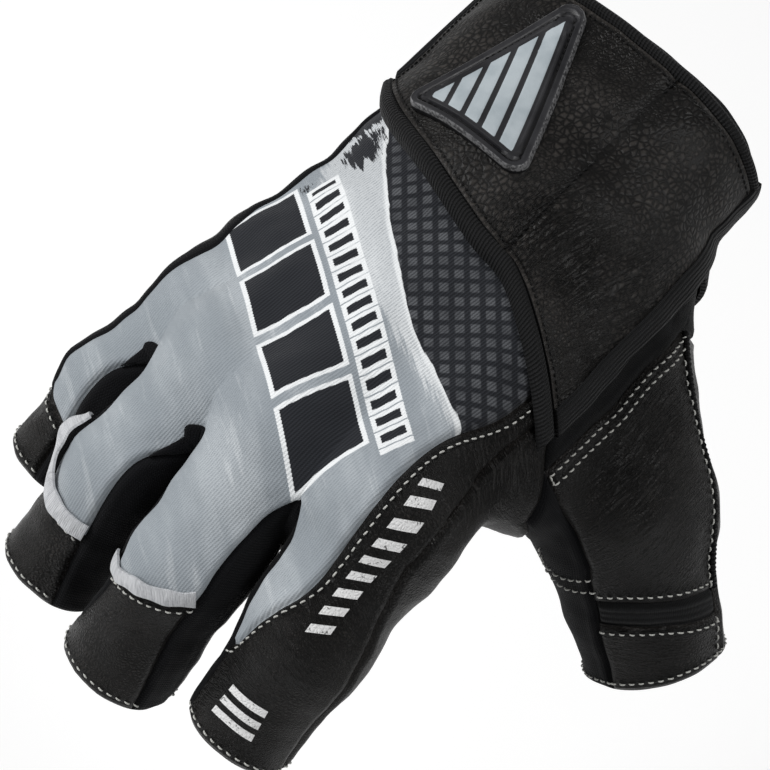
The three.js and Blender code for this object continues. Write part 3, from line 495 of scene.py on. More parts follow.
fronts = [
    {"digit": "pinky", "left": edge["pinkyLeft"], "right": front["pinkyRight"], "from": 0.45, "turn": 198},
    {"digit": "ring", "left": front["ringLeft"], "right": front["ringRight"], "from": 0.5, "turn": 180},
    {"digit": "middle", "left": front["middleLeft"], "right": front["middleRight"], "from": 0.5, "turn": 180},
    {"digit": "index", "left": front["indexLeft"], "right": edge["indexPalm"], "from": 0.45, "turn": 188},
]


def fingerFront(number, row):
    bodyRow = bodyShare(palmBody, number, *wholeFinger)
    places = spans(*fingerCounts) / sum(fingerCounts)
    middle = digitPlace(row["digit"], row["from"] + (1 - row["from"]) * places, row["turn"])
    middle[0] = bodyRow[len(bodyRow) // 2]
    rows = patch([row["left"], middle, row["right"]], [(palmColumns,), (palmColumns,)])
    rows[0] = bodyRow
    return rows


palmFingers = [fingerFront(i, row) for i, row in enumerate(fronts)]
stripBody = patch([back["indexLeather"], stripEdge], [(sideColumns,)])
stripFinger = patch([edge["indexLeather"], edge["indexPalm"]], [(sideColumns,)])

touching = 0.15
smallestMarch = 0.1


def webRow(gap, top, bottom):
    shares = (spans(wallColumns) / wallColumns)[:, None]
    points = top + (bottom - top) * shares
    for _ in range(grooveSteps):
        distance = form(points)
        inside = (distance < -touching)[:, None]
        inside[[0, -1]] = False
        march = gap["ahead"] * np.maximum(-distance / 2, smallestMarch)[:, None]
        points = np.where(inside, points + march + lean(gap, points + march), points)
    setFacing(points[1:-1], gap["ahead"])
    return points


def sideWall(shape, web, backPoints, frontPoints):
    shares = (spans(wallColumns) / wallColumns)[None, :, None]
    bulge = web - (web[0] + (web[-1] - web[0]) * shares[0])
    places = (spans(*fingerCounts) / sum(fingerCounts))[1:, None, None]
    top, bottom = backPoints[1:, None], frontPoints[1:, None]
    points = settle(top + (bottom - top) * shares + bulge * (1 - places), shape)
    setFacing(points[:, 1:-1], normalAt(points[:, 1:-1], shape))
    points[:, 0], points[:, -1] = backPoints[1:], frontPoints[1:]
    return points


def fourchettePatch(gap):
    left, right = gap["edges"]
    web = webRow(gap, edge[left][0], front[left][0])
    first = sideWall(digitForms[gap["digits"][0]], web, edge[left], front[left])
    second = sideWall(digitForms[gap["digits"][1]], web, edge[right], front[right])
    return np.concatenate([first[::-1], web[None], second])


# Thumb: degrees round it at the ends of the four stretches of its root loop
middleTurns = (-43, 50, 130, 296, 317)
hemTurns = (-58, 52, 125, 280, 302)
thumbMiddle = 0.15
bandStart = 0.46
bandEnd = 0.62
bandTilt = 0.1
thumbCounts = {"root": 5, "leather": 3, "band": 2, "tip": 3}
loopCounts = (stitchColumns, heelColumns, rootRows, rootRows)
rootLoop = np.vstack([root["stitched"][:-1], root["heel"][:-1], root["palm"][:-1], root["web"][::-1]])
loopStops = np.cumsum([0, *loopCounts])
loopPlaces = spans(*loopCounts)
middleDegrees = np.interp(loopPlaces, loopStops, middleTurns)
hemDegrees = np.interp(loopPlaces, loopStops, hemTurns)


def thumbRow(share):
    degrees = middleDegrees + (hemDegrees - middleDegrees) * (share - thumbMiddle) / (1 - thumbMiddle)
    fade = min(1, 4 * (1 - share), (share - thumbMiddle) / thumbMiddle)
    tilt = bandTilt * np.sin(np.radians(degrees)) * fade
    return digitPlace("thumb", share + tilt, degrees)


thumbCentre = digitPlace("thumb", thumbMiddle, middleDegrees)
rootShares = (spans(thumbCounts["root"]) / thumbCounts["root"])[1:-1]
thumbRows = [rootLoop]
thumbRows += [settle(rootLoop + (thumbCentre - rootLoop) * share) for share in rootShares]
thumbRows.append(thumbCentre)
for kind, first, last in (
    ("leather", thumbMiddle, bandStart), ("band", bandStart, bandEnd), ("tip", bandEnd, 1),
):
    for share in (spans(thumbCounts[kind]) / thumbCounts[kind])[1:]:
        thumbRows.append(thumbRow(first + (last - first) * share))
thumb = np.array(thumbRows)
thumb[:, -1] = thumb[:, 0]
bandRow = steps(thumbCounts["root"], thumbCounts["leather"])
tipRow = bandRow + steps(thumbCounts["band"])
stitchedEnd = steps(stitchColumns)
sideClothStart = steps(stitchColumns, heelColumns) + int(4 * density) + 1

# Cuff: from the wrist opening to the neighbours' first rows
cuffFront = np.vstack([
    backBody[0][:-1], sideBody[0][:-1], stripBody[0][:-1], root["stitched"][:-1], root["heel"][:-1],
    palmBody[0][::-1],
])
wristTurns = [
    {"counts": [backColumns] * 4, "from": 172, "to": 30},
    {"counts": [sideColumns], "from": 30, "to": 22},
    {"counts": [sideColumns], "from": 22, "to": 12},
    {"counts": [stitchColumns], "from": 12, "to": -18},
    {"counts": [heelColumns], "from": -18, "to": -42},
    {"counts": [palmColumns] * 8, "from": -42, "to": -188},
]
wristHalfBreadth = 0.36
wristDegrees = np.concatenate([[wristTurns[0]["from"]]] + [
    row["from"] + (row["to"] - row["from"]) * (spans(*row["counts"]) / sum(row["counts"]))[1:]
    for row in wristTurns
])
wristAngles = np.radians(wristDegrees)
cuffRear = at(np.stack([wristHalfBreadth * np.cos(wristAngles), 0 * wristAngles, np.sin(wristAngles) / 2], 1))
for _ in range(settleSteps):
    cuffRear = cuffRear - unit(normalAt(cuffRear) * (1, 0, 1)) * form(cuffRear)[:, None]
cuffShares = (spans(cuffRows) / cuffRows)[:, None, None]
cuff = cuffRear + (cuffFront - cuffRear) * cuffShares
cuff[1:-1] = settle(cuff[1:-1])
cuff[:, -1] = cuff[:, 0]
print("panels laid out")

# Wrist strap: rear and front edge from the strap end on the pinky side to the thumb side
strapLift = 0.8
strapWall = 2.4
elasticWall = 1.6
endOverlap = 22.0
frontBinding = 5.0
rearBinding = 3.7
endBinding = 3.6
bindingWall = 3.0
panelGap = 0.5
strapRows = 16
strapColumns = 9
strapRear = at([
    (-0.36, -0.008, 0.2), (-0.16, -0.008, 0.5), (0, -0.008, 0.56), (0.16, -0.01, 0.52), (0.3, -0.012, 0.35),
    (0.365, -0.012, 0.05), (0.36, -0.012, -0.1),
])
strapFront = at([
    (-0.34, -0.235, 0.28), (-0.27, -0.275, 0.4), (-0.07, -0.32, 0.55), (0.1, -0.35, 0.55), (0.2, -0.36, 0.52),
    (0.33, -0.4, 0.45), (0.42, -0.435, 0.28), (0.47, -0.458, 0.12),
])
bridged = (0.5, 0.7)


def smooth(low, high, values):
    share = np.clip((values - low) / (high - low), 0, 1)
    return share * share * (3 - 2 * share)


def strapPoints(along, width):
    rear = curveAt(strapRear, evenShares(strapRear, along))[:, None]
    ray = curveAt(strapFront, evenShares(strapFront, along))[:, None] - rear
    length = np.linalg.norm(ray, axis=-1)
    guide = rear + ray * (width(length) / length)[..., None]
    resting = settle(guide)
    taut = np.where(form(guide) > 0, smooth(*bridged, along)[:, None], 0)[..., None]
    return resting + (guide - resting) * taut


def strapWidths(length):
    middle = length - frontBinding - rearBinding
    rear = rearBinding * spans(1) + 0 * length
    leather = rearBinding + middle * spans(strapColumns)[1:-1] / strapColumns
    front = length - frontBinding + frontBinding * spans(1)
    return np.concatenate([rear, leather, front], 1)


strapLength = lengthsAlong(curveAt(strapFront, curveSamples))[-1]
endShare = endBinding / strapLength
padAlong = endShare + (1 - endShare) * spans(strapRows)[1:] / strapRows
strapAlong = np.concatenate([endShare * spans(1), padAlong])
strapGrid = strapPoints(strapAlong, strapWidths)
endRow = steps(1)
leatherColumn = steps(1)
lastColumn = strapGrid.shape[1] - 1
frontColumn = lastColumn - steps(1)
endLine = strapPoints(
    np.array([0.0]), lambda length: np.concatenate([0 * length, length - frontBinding], 1)
)[0]


def strapRise(points):
    way = unit(endLine[1] - endLine[0])
    offset = points - endLine[0]
    reach = np.linalg.norm(offset - (offset @ way)[..., None] * way, axis=-1)
    return (elasticWall + panelGap) * (1 - smooth(endOverlap, 2 * endOverlap, reach))


elasticRear = at([
    (0.357, -0.014, -0.18), (0.28, -0.014, -0.4), (0, -0.014, -0.475), (-0.28, -0.014, -0.42),
    (-0.37, -0.014, -0.075), (-0.34, -0.014, 0.28), (-0.24, -0.014, 0.44),
])
elasticFront = at([
    (0.425, -0.15, 0), (0.38, -0.155, -0.5), (0.28, -0.155, -0.65), (0, -0.155, -0.475),
    (-0.28, -0.155, -0.45), (-0.37, -0.155, -0.1), (-0.34, -0.155, 0.28), (-0.24, -0.155, 0.44),
])
elasticRows = 14
elasticColumns = 5
elastic = patch([rail(elasticRear, elasticRows), rail(elasticFront, elasticRows)], [(elasticColumns,)])
print("strap laid out")


# Meshes. A piece is its outer wall, its inner wall and a rim, from the patches' points on the form.
def wave(points, length, seed, count=7):
    rng = np.random.default_rng(seed)
    total = 0
    for _ in range(count):
        direction = unit(rng.normal(size=3)) * 2 * math.pi / (length * rng.uniform(0.75, 1.4))
        total = total + np.sin(points @ direction + rng.uniform(0, 2 * math.pi))
    return total / math.sqrt(count / 2)


def patchPlaces(rows, start=None):
    # Millimetres across the patch from its middle column and along it from its first row
    down = np.linalg.norm(np.diff(rows, axis=0), axis=-1)
    along = np.vstack([np.zeros(rows.shape[1]), np.cumsum(down, axis=0)])
    over = np.linalg.norm(np.diff(rows, axis=1), axis=-1)
    across = np.hstack([np.zeros((len(rows), 1)), np.cumsum(over, axis=1)])
    middle = rows.shape[1] // 2
    across = across - across[:, middle : middle + 1]
    if start is not None:
        across = across + start[middle, 0]
        along = along + start[:, 1]
    return np.stack([across, along], -1)


def segmentDistance(points, starts, ends):
    ray = ends - starts
    share = np.clip(((points - starts) * ray).sum(-1) / np.maximum((ray * ray).sum(-1), 1e-9), 0, 1)
    return np.linalg.norm(points - starts - ray * share[..., None], axis=-1)


def edgeDistance(verts, edges):
    neighbours = {}
    for a, b in edges:
        neighbours.setdefault(a, []).append(b)
        neighbours.setdefault(b, []).append(a)
    ids = sorted(neighbours)
    tree = kdtree.KDTree(len(ids))
    for i in ids:
        tree.insert(verts[i], i)
    tree.balance()
    nearest = np.array([tree.find(point)[1] for point in verts])
    sides = np.array([(neighbours[i][0], neighbours[i][-1]) for i in range(len(verts)) if i in neighbours])
    lookup = np.zeros((len(verts), 2), int)
    lookup[ids] = sides
    return np.minimum(*[segmentDistance(verts, verts[nearest], verts[lookup[nearest, k]]) for k in (0, 1)])


def assemble(patches, places):
    flat = np.concatenate([rows.reshape(-1, 3) for rows in patches])
    keys = np.round(flat * 1000).astype(int)
    _, first, index = np.unique(keys, axis=0, return_index=True, return_inverse=True)
    index = index.reshape(-1)
    verts = flat[first]
    normals = normalAt(verts)
    for i, key in enumerate(keysOf(verts)):
        if key in facings:
            normals[i] = facings[key]
    corners = []
    base = 0
    for rows in patches:
        grid = base + np.arange(rows.shape[0] * rows.shape[1]).reshape(rows.shape[:2])
        quads = np.stack([grid[:-1, :-1], grid[:-1, 1:], grid[1:, 1:], grid[1:, :-1]], -1).reshape(-1, 4)
        a, b, c = [flat[quads[:, k]] for k in (0, 1, 2)]
        facing = (np.cross(b - a, c - a) * normals[index[quads[:, 0]]]).sum()
        corners.append(quads if facing > 0 else quads[:, ::-1])
        base += grid.size
    corners = np.concatenate(corners)
    quads = index[corners]
    pairs = np.concatenate([np.stack([quads[:, k], quads[:, (k + 1) % 4]], 1) for k in range(4)])
    owners = np.tile(np.arange(len(quads)), 4)
    kept = pairs[:, 0] != pairs[:, 1]
    pairs, owners = pairs[kept], owners[kept]
    code = np.sort(pairs, 1) @ (len(verts), 1)
    _, seenFirst, counts = np.unique(code, return_index=True, return_counts=True)
    edges = pairs[seenFirst[counts == 1]]
    places = np.concatenate([row.reshape(-1, 2) for row in places])
    return {
        "verts": verts, "normals": normals, "quads": quads, "edges": edges, "places": places[corners],
        "vertPlaces": places[first], "reach": edgeDistance(verts, edges.tolist()),
    }


def putMesh(name, verts, faces, materials, places, kinds=None, attributes=None, sharp=50):
    mesh = bpy.data.meshes.new(name)
    mesh.from_pydata([tuple(v) for v in verts * millimetre], [], faces)
    layer = mesh.uv_layers.new(name="panel")
    layer.data.foreach_set("uv", np.concatenate(places).astype(np.float32).ravel())
    mesh.polygons.foreach_set("material_index", np.zeros(len(faces), np.int32) if kinds is None else kinds)
    for material in materials:
        mesh.materials.append(material)
    for key, values in (attributes or {}).items():
        attribute = mesh.attributes.new(key, "FLOAT", "POINT")
        attribute.data.foreach_set("value", np.asarray(values, np.float32))
    mesh.polygons.foreach_set("use_smooth", np.ones(len(faces), bool))
    mesh.validate()
    mesh.set_sharp_from_angle(angle=math.radians(sharp))
    piece = bpy.data.objects.new(name, mesh)
    bpy.context.scene.collection.objects.link(piece)
    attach(piece, "root")
    return piece


def wallPiece(name, patches, top, bottom, materials, nodes=(), places=None, fields=None):
    data = assemble(patches, places or [patchPlaces(rows) for rows in patches])
    middle, normals, reach, edges = [data[key] for key in ("verts", "normals", "reach", "edges")]
    count = len(middle)
    high = top(middle, reach)
    low = bottom(middle, reach) + 0 * high
    verts = np.concatenate([middle + normals * np.reshape(lift, (-1, 1)) for lift in (high, low)])
    rim = np.stack([edges[:, 1], edges[:, 0], edges[:, 0] + count, edges[:, 1] + count], 1)
    quads = np.concatenate([data["quads"], data["quads"][:, ::-1] + count, rim])
    places = np.concatenate([data["places"], data["places"][:, ::-1], data["vertPlaces"][rim % count]])
    kinds = np.repeat([0, 1, 1], [len(data["quads"]), len(data["quads"]), len(rim)])
    faces, corners = [], []
    for quad, place in zip(quads.tolist(), places):
        keep = [k for k in range(4) if quad[k] != quad[k - 1]]
        faces.append([quad[k] for k in keep])
        corners.append(place[keep])
    attributes = {"reach": np.tile(reach, 2)}
    for key, field in (fields or {}).items():
        attributes[key] = np.tile(field(middle), 2)
    piece = putMesh(name, verts, faces, materials, corners, kinds.astype(np.int32), attributes)
    if nodes:
        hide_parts(*nodes)
    return piece


# Tubes: rings of points along a line, closed by a face at either end
turnedOver = [0, 3, 2, 1]


def ringQuads(grid):
    following = np.roll(grid, -1, 1)
    return np.stack([grid[:-1], following[:-1], following[1:], grid[1:]], -1).reshape(-1, 4)


def tubeParts(rings, around, cell, turned=False):
    grid = np.arange(rings * around).reshape(rings, around)
    quads = ringQuads(grid)
    ring, k = np.divmod(np.arange(len(quads)), around)
    places = np.stack([k, ring, k + 1, ring, k + 1, ring + 1, k, ring + 1], -1).reshape(-1, 4, 2) * cell
    ends = [grid[0][::-1], grid[-1]]
    if turned:
        quads, places, ends = quads[:, turnedOver], places[:, turnedOver], [end[::-1] for end in ends]
    return quads.tolist() + [end.tolist() for end in ends], [*places, *np.zeros((2, around, 2))]


def lineFrame(line):
    # Directions ahead along a line on the form, out of the form and to the line's side
    ahead, normals = unit(np.gradient(line, axis=0)), normalAt(line)
    return ahead, normals, unit(np.cross(ahead, normals))


def roundSpokes(over, normals, sides):
    angles = np.arange(sides) * 2 * math.pi / sides
    return over[:, None] * np.cos(angles)[:, None] + normals[:, None] * np.sin(angles)[:, None]


# Materials
def newMaterial(name, roughness, specular, sheen=0.0):
    material = bpy.data.materials.new(name)
    material.use_nodes = True
    shader = material.node_tree.nodes["Principled BSDF"]
    shader.inputs["Roughness"].default_value = roughness
    shader.inputs["Specular IOR Level"].default_value = specular
    shader.inputs["Sheen Weight"].default_value = sheen
    shader.inputs["Sheen Roughness"].default_value = 0.5
    return material


def put(kind, inputs, tree=None, output=0, **settings):
    # A new node, in the tree of the sockets that it is linked to unless another is given
    tree = tree or next(value.id_data for value in inputs.values() if isinstance(value, bpy.types.NodeSocket))
    node = tree.nodes.new(kind)
    for key, value in settings.items():
        setattr(node, key, value)
    for key, value in inputs.items():
        if isinstance(value, bpy.types.NodeSocket):
            tree.links.new(value, node.inputs[key])
        else:
            node.inputs[key].default_value = value
    return node.outputs[output]


def calc(operation, *values, clamp=False):
    return put("ShaderNodeMath", dict(enumerate(values)), operation=operation, use_clamp=clamp)


def times(first, second):
    return calc("MULTIPLY", first, second)


def timesPlus(first, second, third, clamp=False):
    return calc("MULTIPLY_ADD", first, second, third, clamp=clamp)


def plus(first, second, clamp=False):
    return calc("ADD", first, second, clamp=clamp)


def minus(first, second):
    return calc("SUBTRACT", first, second)


def size(value):
    return calc("ABSOLUTE", value)


def scaled(vector, scale):
    return put("ShaderNodeMapping", {"Vector": vector, "Scale": scale}, vector_type="POINT")


def twoParts(vector):
    return [put("ShaderNodeSeparateXYZ", {0: vector}, output=k) for k in (0, 1)]


def panelPlace(material):
    return put("ShaderNodeUVMap", {}, material.node_tree, uv_map="panel")


def glovePlace(material):
    return put("ShaderNodeTexCoord", {}, material.node_tree, output=3)


def fieldOf(material, name):
    return put("ShaderNodeAttribute", {}, material.node_tree, output=2, attribute_name=name)


def noise(vector, scale, detail=2.0, roughness=0.5):
    inputs = {"Vector": vector, "Scale": scale, "Detail": detail, "Roughness": roughness}
    return put("ShaderNodeTexNoise", inputs)


def cells(vector, scale):
    # 0 in the cracks between the cells and 1 on top of them
    cracks = put("ShaderNodeTexVoronoi", {"Vector": vector, "Scale": scale}, feature="DISTANCE_TO_EDGE")
    return between(cracks, 0.0, 0.4)


def between(value, low, high, lowTo=0.0, highTo=1.0):
    inputs = {"Value": value, "From Min": low, "From Max": high, "To Min": lowTo, "To Max": highTo}
    return put("ShaderNodeMapRange", inputs, interpolation_type="SMOOTHSTEP")


def blendColour(share, first, second):
    first, second = [c if isinstance(c, bpy.types.NodeSocket) else (*c, 1) for c in (first, second)]
    return put("ShaderNodeMix", {0: share, 6: first, 7: second}, output=2, data_type="RGBA")


def finishMaterial(material, colour, height, depth, roughness=None):
    shader = material.node_tree.nodes["Principled BSDF"]
    bump = put("ShaderNodeBump", {"Height": height, "Distance": depth})
    links = material.node_tree.links
    links.new(bump, shader.inputs["Normal"])
    links.new(colour, shader.inputs["Base Color"])
    if roughness is not None:
        links.new(roughness, shader.inputs["Roughness"])
    return material


def scaledColour(value, amount):
    centred = timesPlus(value, amount, -amount / 2)
    return put("ShaderNodeCombineXYZ", {0: centred, 1: centred, 2: centred})


def stripes(value, pitch):
    return timesPlus(calc("SINE", times(value, 2 * math.pi / pitch)), 0.5, 0.5)


def planePlace(material, axis):
    # Millimetres along one direction of the glove's plan, in degrees from +X towards +Y
    x, y = twoParts(glovePlace(material))
    angle = math.radians(axis)
    return timesPlus(y, 1000 * math.sin(angle), times(x, 1000 * math.cos(angle)))


leatherLooks = {
    "black leather": {
        "dark": (0.0012, 0.0011, 0.001), "light": (0.023, 0.020, 0.018), "grain": 0.85, "stretch": (1, 1, 1),
        "roughness": (0.38, 0.5), "bump": 0.00014,
    },
    "strap leather": {
        "dark": (0.0014, 0.0012, 0.0011), "light": (0.045, 0.040, 0.036), "grain": 1.35,
        "stretch": (1, 0.8, 1), "roughness": (0.42, 0.55), "bump": 0.00015,
    },
}


def leatherMaterial(name, dark, light, grain, stretch, roughness, bump):
    material = newMaterial(name, roughness[0], 0.24)
    place = glovePlace(material)
    reach, thread = fieldOf(material, "reach"), fieldOf(material, "thread")

    # Pebbles of two sizes
    warp = scaledColour(noise(place, 300, 2), 0.0007)
    warped = scaled(put("ShaderNodeVectorMath", {0: place, 1: warp}, operation="ADD"), stretch)
    large, small = cells(warped, 1000 / grain), cells(warped, 1700 / grain)
    broad = noise(place, 55, 3)
    fine = noise(place, 3000, 3)
    coarse = between(noise(place, 40, 2), 0.35, 0.6)
    grainy = put("ShaderNodeMix", {0: coarse, 2: small, 3: large}, data_type="FLOAT")
    height = timesPlus(broad, 2.5, timesPlus(fine, 0.25, grainy))

    # Folds at the creases and a groove along the stitches
    folds = noise(scaled(panelPlace(material), (0.12, 0.75, 1)), 1.0, 4, 0.6)
    folded = times(between(size(minus(folds, 0.5)), 0.0, 0.08, -5.0, 0), fieldOf(material, "crease"))
    sewn = minus(reach, threadOffset)
    groove = between(times(sewn, sewn), 0.0, 0.35, -1.6, 0)
    height = timesPlus(groove, between(thread, 0.6, 1.6, 1, 0), plus(height, folded))

    # Painted shade: dark in the cracks between the pebbles and in the groove beside the thread. Lighter within a
    # millimetre of the panel's edge
    tone = times(grainy, between(fine, 0.3, 0.7, 0.65, 1.0))
    tone = times(tone, between(broad, 0.38, 0.66, 0.3, 1.0))
    tone = times(tone, between(thread, 0.3, 1.5, 0.1, 1.0))
    tone = plus(tone, between(reach, 0.2, 1.0, 0.35, 0), clamp=True)
    gloss = between(timesPlus(fine, 0.3, broad), 0.45, 0.85, *roughness)
    return finishMaterial(material, blendColour(tone, dark, light), height, bump, gloss)


ribbedLooks = {
    "ribbed binding": {
        "dark": (0.002, 0.0021, 0.0023), "light": (0.012, 0.0125, 0.014), "pitch": 0.85,
        "roughness": 0.7, "bump": 0.0003,
    },
    "smooth binding": {
        "dark": (0.004, 0.0042, 0.0046), "light": (0.015, 0.016, 0.018), "pitch": 0.5,
        "roughness": 0.62, "bump": 0.0001,
    },
    "ribbed elastic": {
        "dark": (0.002, 0.0022, 0.0025), "light": (0.014, 0.0145, 0.016), "pitch": 1.5,
        "roughness": 0.8, "bump": 0.0003,
    },
    "white thread": {
        "dark": (0.45, 0.45, 0.42), "light": (0.78, 0.78, 0.75), "pitch": 0.3,
        "roughness": 0.6, "bump": 0.00004,
    },
    "black thread": {
        "dark": (0.001, 0.001, 0.0012), "light": (0.006, 0.006, 0.0065), "pitch": 0.3, "roughness": 0.42,
        "bump": 0.00004,
    },
}


def ribbedMaterial(name, dark, light, pitch, roughness, bump):
    material = newMaterial(name, roughness, 0.2, 0.04)
    place = panelPlace(material)
    across, along = twoParts(place)
    rib = stripes(timesPlus(noise(place, 0.6, 2), 0.25 * pitch, along), pitch)
    fuzz = noise(place, 4.0, 3)
    height = timesPlus(fuzz, 0.4, timesPlus(stripes(across, 0.45), 0.3, rib))
    return finishMaterial(material, blendColour(times(rib, fuzz), dark, light), height, bump)


knitLooks = {
    "stretch cloth": {
        "dark": (0.0018, 0.0019, 0.0025), "light": (0.0065, 0.007, 0.009), "pitch": 0.7, "roughness": 0.85,
    },
    "lining": {"dark": (0.010, 0.010, 0.0105), "light": (0.028, 0.028, 0.03), "pitch": 0.9, "roughness": 0.9},
    "cuff neoprene": {
        "dark": (0.0025, 0.0027, 0.003), "light": (0.009, 0.0095, 0.0105), "pitch": 0.5, "roughness": 0.8,
    },
}


def knitMaterial(name, dark, light, pitch, roughness):
    material = newMaterial(name, roughness, 0.15, 0.03)
    place = panelPlace(material)
    across, along = twoParts(place)
    wale = size(calc("SINE", times(across, math.pi / pitch)))
    loop = stripes(timesPlus(wale, 0.5 * pitch, along), pitch)
    fuzz = noise(place, 3.0, 3)
    height = timesPlus(fuzz, 0.5, times(loop, wale))
    return finishMaterial(material, blendColour(times(height, fuzz), dark, light), height, 0.00012)


# Printed twill of the back, in millimetres
printColours = {
    "shade": (0.20, 0.225, 0.25), "grey": (0.34, 0.375, 0.405), "pale": (0.70, 0.73, 0.75),
    "white": (0.90, 0.92, 0.93), "ink": (0.008, 0.009, 0.012), "line": (0.028, 0.031, 0.038),
    "square": (0.105, 0.11, 0.12),
}
twill = {"pitch": 0.68, "turn": 0.12, "stepPitch": 0.55, "bump": 0.00006}
streaks = {"along": -33, "over": 57, "fine": (0.035, 0.33), "broad": (0.02, 0.075)}
motif = {
    "start": (13.0, -132.0), "axis": 145.0, "slant": -0.3,
    "broad": {"period": 19.0, "half": 7.4, "middle": 8.2, "height": 8.0, "reach": (28.0, 36.0)},
    "small": {"period": 4.6, "half": 1.1, "middle": 22.6, "height": 2.9, "reach": (24.0, 36.0)},
}
squareGrid = {"axes": (42, -48), "pitches": (3.35, 3.2), "half": 1.0, "soft": 0.25}


def gridDots(material, axes, pitches, half, soft):
    parts = []
    for axis, pitch in zip(axes, pitches):
        phase = calc("PINGPONG", planePlace(material, axis), pitch / 2)
        parts.append(between(phase, pitch / 2 - half - soft, pitch / 2 - half + soft))
    return times(*parts)


def barDistance(along, over, period, half, middle, height, reach):
    # Signed distance to a row of slanted bars
    side = minus(calc("PINGPONG", along, period / 2), half)
    end = minus(size(minus(over, middle)), height)
    limit = minus(size(minus(along, reach[0])), reach[1])
    return calc("MAXIMUM", calc("MAXIMUM", side, end), limit)


def twillMaterial():
    material = newMaterial("printed twill", 0.82, 0.2, 0.12)
    shade, grey, pale, white, ink, line, square = printColours.values()
    place = panelPlace(material)
    across, along = twoParts(place)
    wander = noise(scaled(place, (0.5, 0.12, 1)), 1.0, 2)
    rib = stripes(timesPlus(wander, 0.5, timesPlus(along, twill["turn"], across)), twill["pitch"])
    weave = timesPlus(stripes(timesPlus(across, 0.5, along), twill["stepPitch"]), 0.35, rib)
    thread = noise(scaled(place, (2.6, 0.9, 1)), 1.0, 2)
    lined = times(minus(1.0, weave), between(thread, 0.3, 0.7, 0.2, 0.7))

    # Brushed streaks that run across the hand towards the thumb, white along the dark zone
    along, over = [planePlace(material, streaks[key]) for key in ("along", "over")]
    flow, drift = [
        put("ShaderNodeCombineXYZ", {0: times(along, streaks[key][0]), 1: times(over, streaks[key][1])})
        for key in ("fine", "broad")
    ]
    thin = between(noise(flow, 1.0, 4, 0.6), 0.56, 0.68)
    soft = between(noise(drift, 1.0, 3, 0.55), 0.38, 0.68)
    zone = fieldOf(material, "zone")
    ragged = minus(noise(flow, 2.3, 5, 0.7), 0.5)
    brushed = between(plus(timesPlus(ragged, 11.0, zone), fieldOf(material, "brush")), -1.0, 1.2)
    colour = blendColour(timesPlus(thin, 0.34, times(soft, 0.3)), grey, pale)
    colour = blendColour(times(brushed, 0.7), colour, white)
    colour = blendColour(between(soft, 0, 1, 0.25, 0.0), colour, shade)
    colour = blendColour(lined, colour, shade)

    # Motif: a row of broad slanted bars with a row of small ones beside it
    turn = math.radians(motif["axis"])
    startAlong = motif["start"][0] * math.cos(turn) + motif["start"][1] * math.sin(turn)
    startOver = motif["start"][1] * math.cos(turn) - motif["start"][0] * math.sin(turn)
    breadth = minus(startOver, planePlace(material, motif["axis"] + 90))
    slanted = timesPlus(breadth, motif["slant"], minus(planePlace(material, motif["axis"]), startAlong))
    bars = calc("MINIMUM", *[barDistance(slanted, breadth, **motif[kind]) for kind in ("broad", "small")])
    bars = timesPlus(minus(weave, 0.5), 0.12, bars)
    inked = blendColour(times(weave, 0.55), ink, line)
    whitened = blendColour(times(lined, 0.3), white, shade)
    colour = blendColour(between(bars, 0.95, 1.15, 1, 0), colour, whitened)
    colour = blendColour(between(bars, -0.1, 0.1, 1, 0), colour, inked)

    # Dark zone with a grid of pale squares, and ink splashes beyond its rear corner
    jagged = minus(noise(flow, 1.4, 4, 0.65), 0.5)
    border = timesPlus(jagged, 2.6, zone)
    colour = blendColour(times(between(border, -1.3, -0.5), 0.8), colour, whitened)
    fade = noise(glovePlace(material), 160, 2)
    squares = times(gridDots(material, **squareGrid), between(fade, 0.3, 0.65, 0.45, 1.0))
    squares = times(squares, between(weave, 0.2, 1.0, 0.35, 1.0))
    ground = blendColour(times(between(weave, 0.5, 1.1), 0.7), ink, line)
    colour = blendColour(between(border, -0.12, 0.12), colour, blendColour(squares, ground, square))
    splash = timesPlus(ragged, 16.0, fieldOf(material, "splash"))
    colour = blendColour(between(splash, -0.3, 0.3), colour, inked)
    return finishMaterial(material, colour, timesPlus(thread, 0.6, weave), twill["bump"])


def tapeMaterial():
    material = newMaterial("pull tape", 0.6, 0.3, 0.15)
    place = panelPlace(material)
    folds = noise(scaled(place, (0.25, 0.9, 1)), 1.0, 3, 0.55)
    weave = stripes(twoParts(place)[1], 0.36)
    fuzz = noise(place, 5.0, 3)
    height = timesPlus(weave, 0.1, timesPlus(fuzz, 0.12, folds))
    # Painted shade and highlight: darker in the hollows of the folds and lighter on their ridges, with random fuzz
    tone = timesPlus(fuzz, 0.4, between(folds, 0.35, 0.65, 0.0, 0.6), clamp=True)
    return finishMaterial(material, blendColour(tone, (0.40, 0.41, 0.43), (0.64, 0.65, 0.67)), height, 0.0006)


def printMaterial():
    material = newMaterial("white print", 0.5, 0.35)
    place = glovePlace(material)
    grain = cells(place, 1250)
    wear = between(timesPlus(grain, 0.25, noise(place, 900, 4, 0.6)), 0.36, 0.44)
    return finishMaterial(material, blendColour(wear, (0.12, 0.12, 0.12), (0.82, 0.82, 0.82)), grain, 0.00012)


rubberColours = {
    "groove": (0.003, 0.003, 0.004), "black": (0.009, 0.009, 0.011), "dusty": (0.02, 0.02, 0.023),
    "rimGlint": (0.20, 0.20, 0.205), "bar": (0.36, 0.41, 0.44), "paleBar": (0.46, 0.51, 0.54),
}


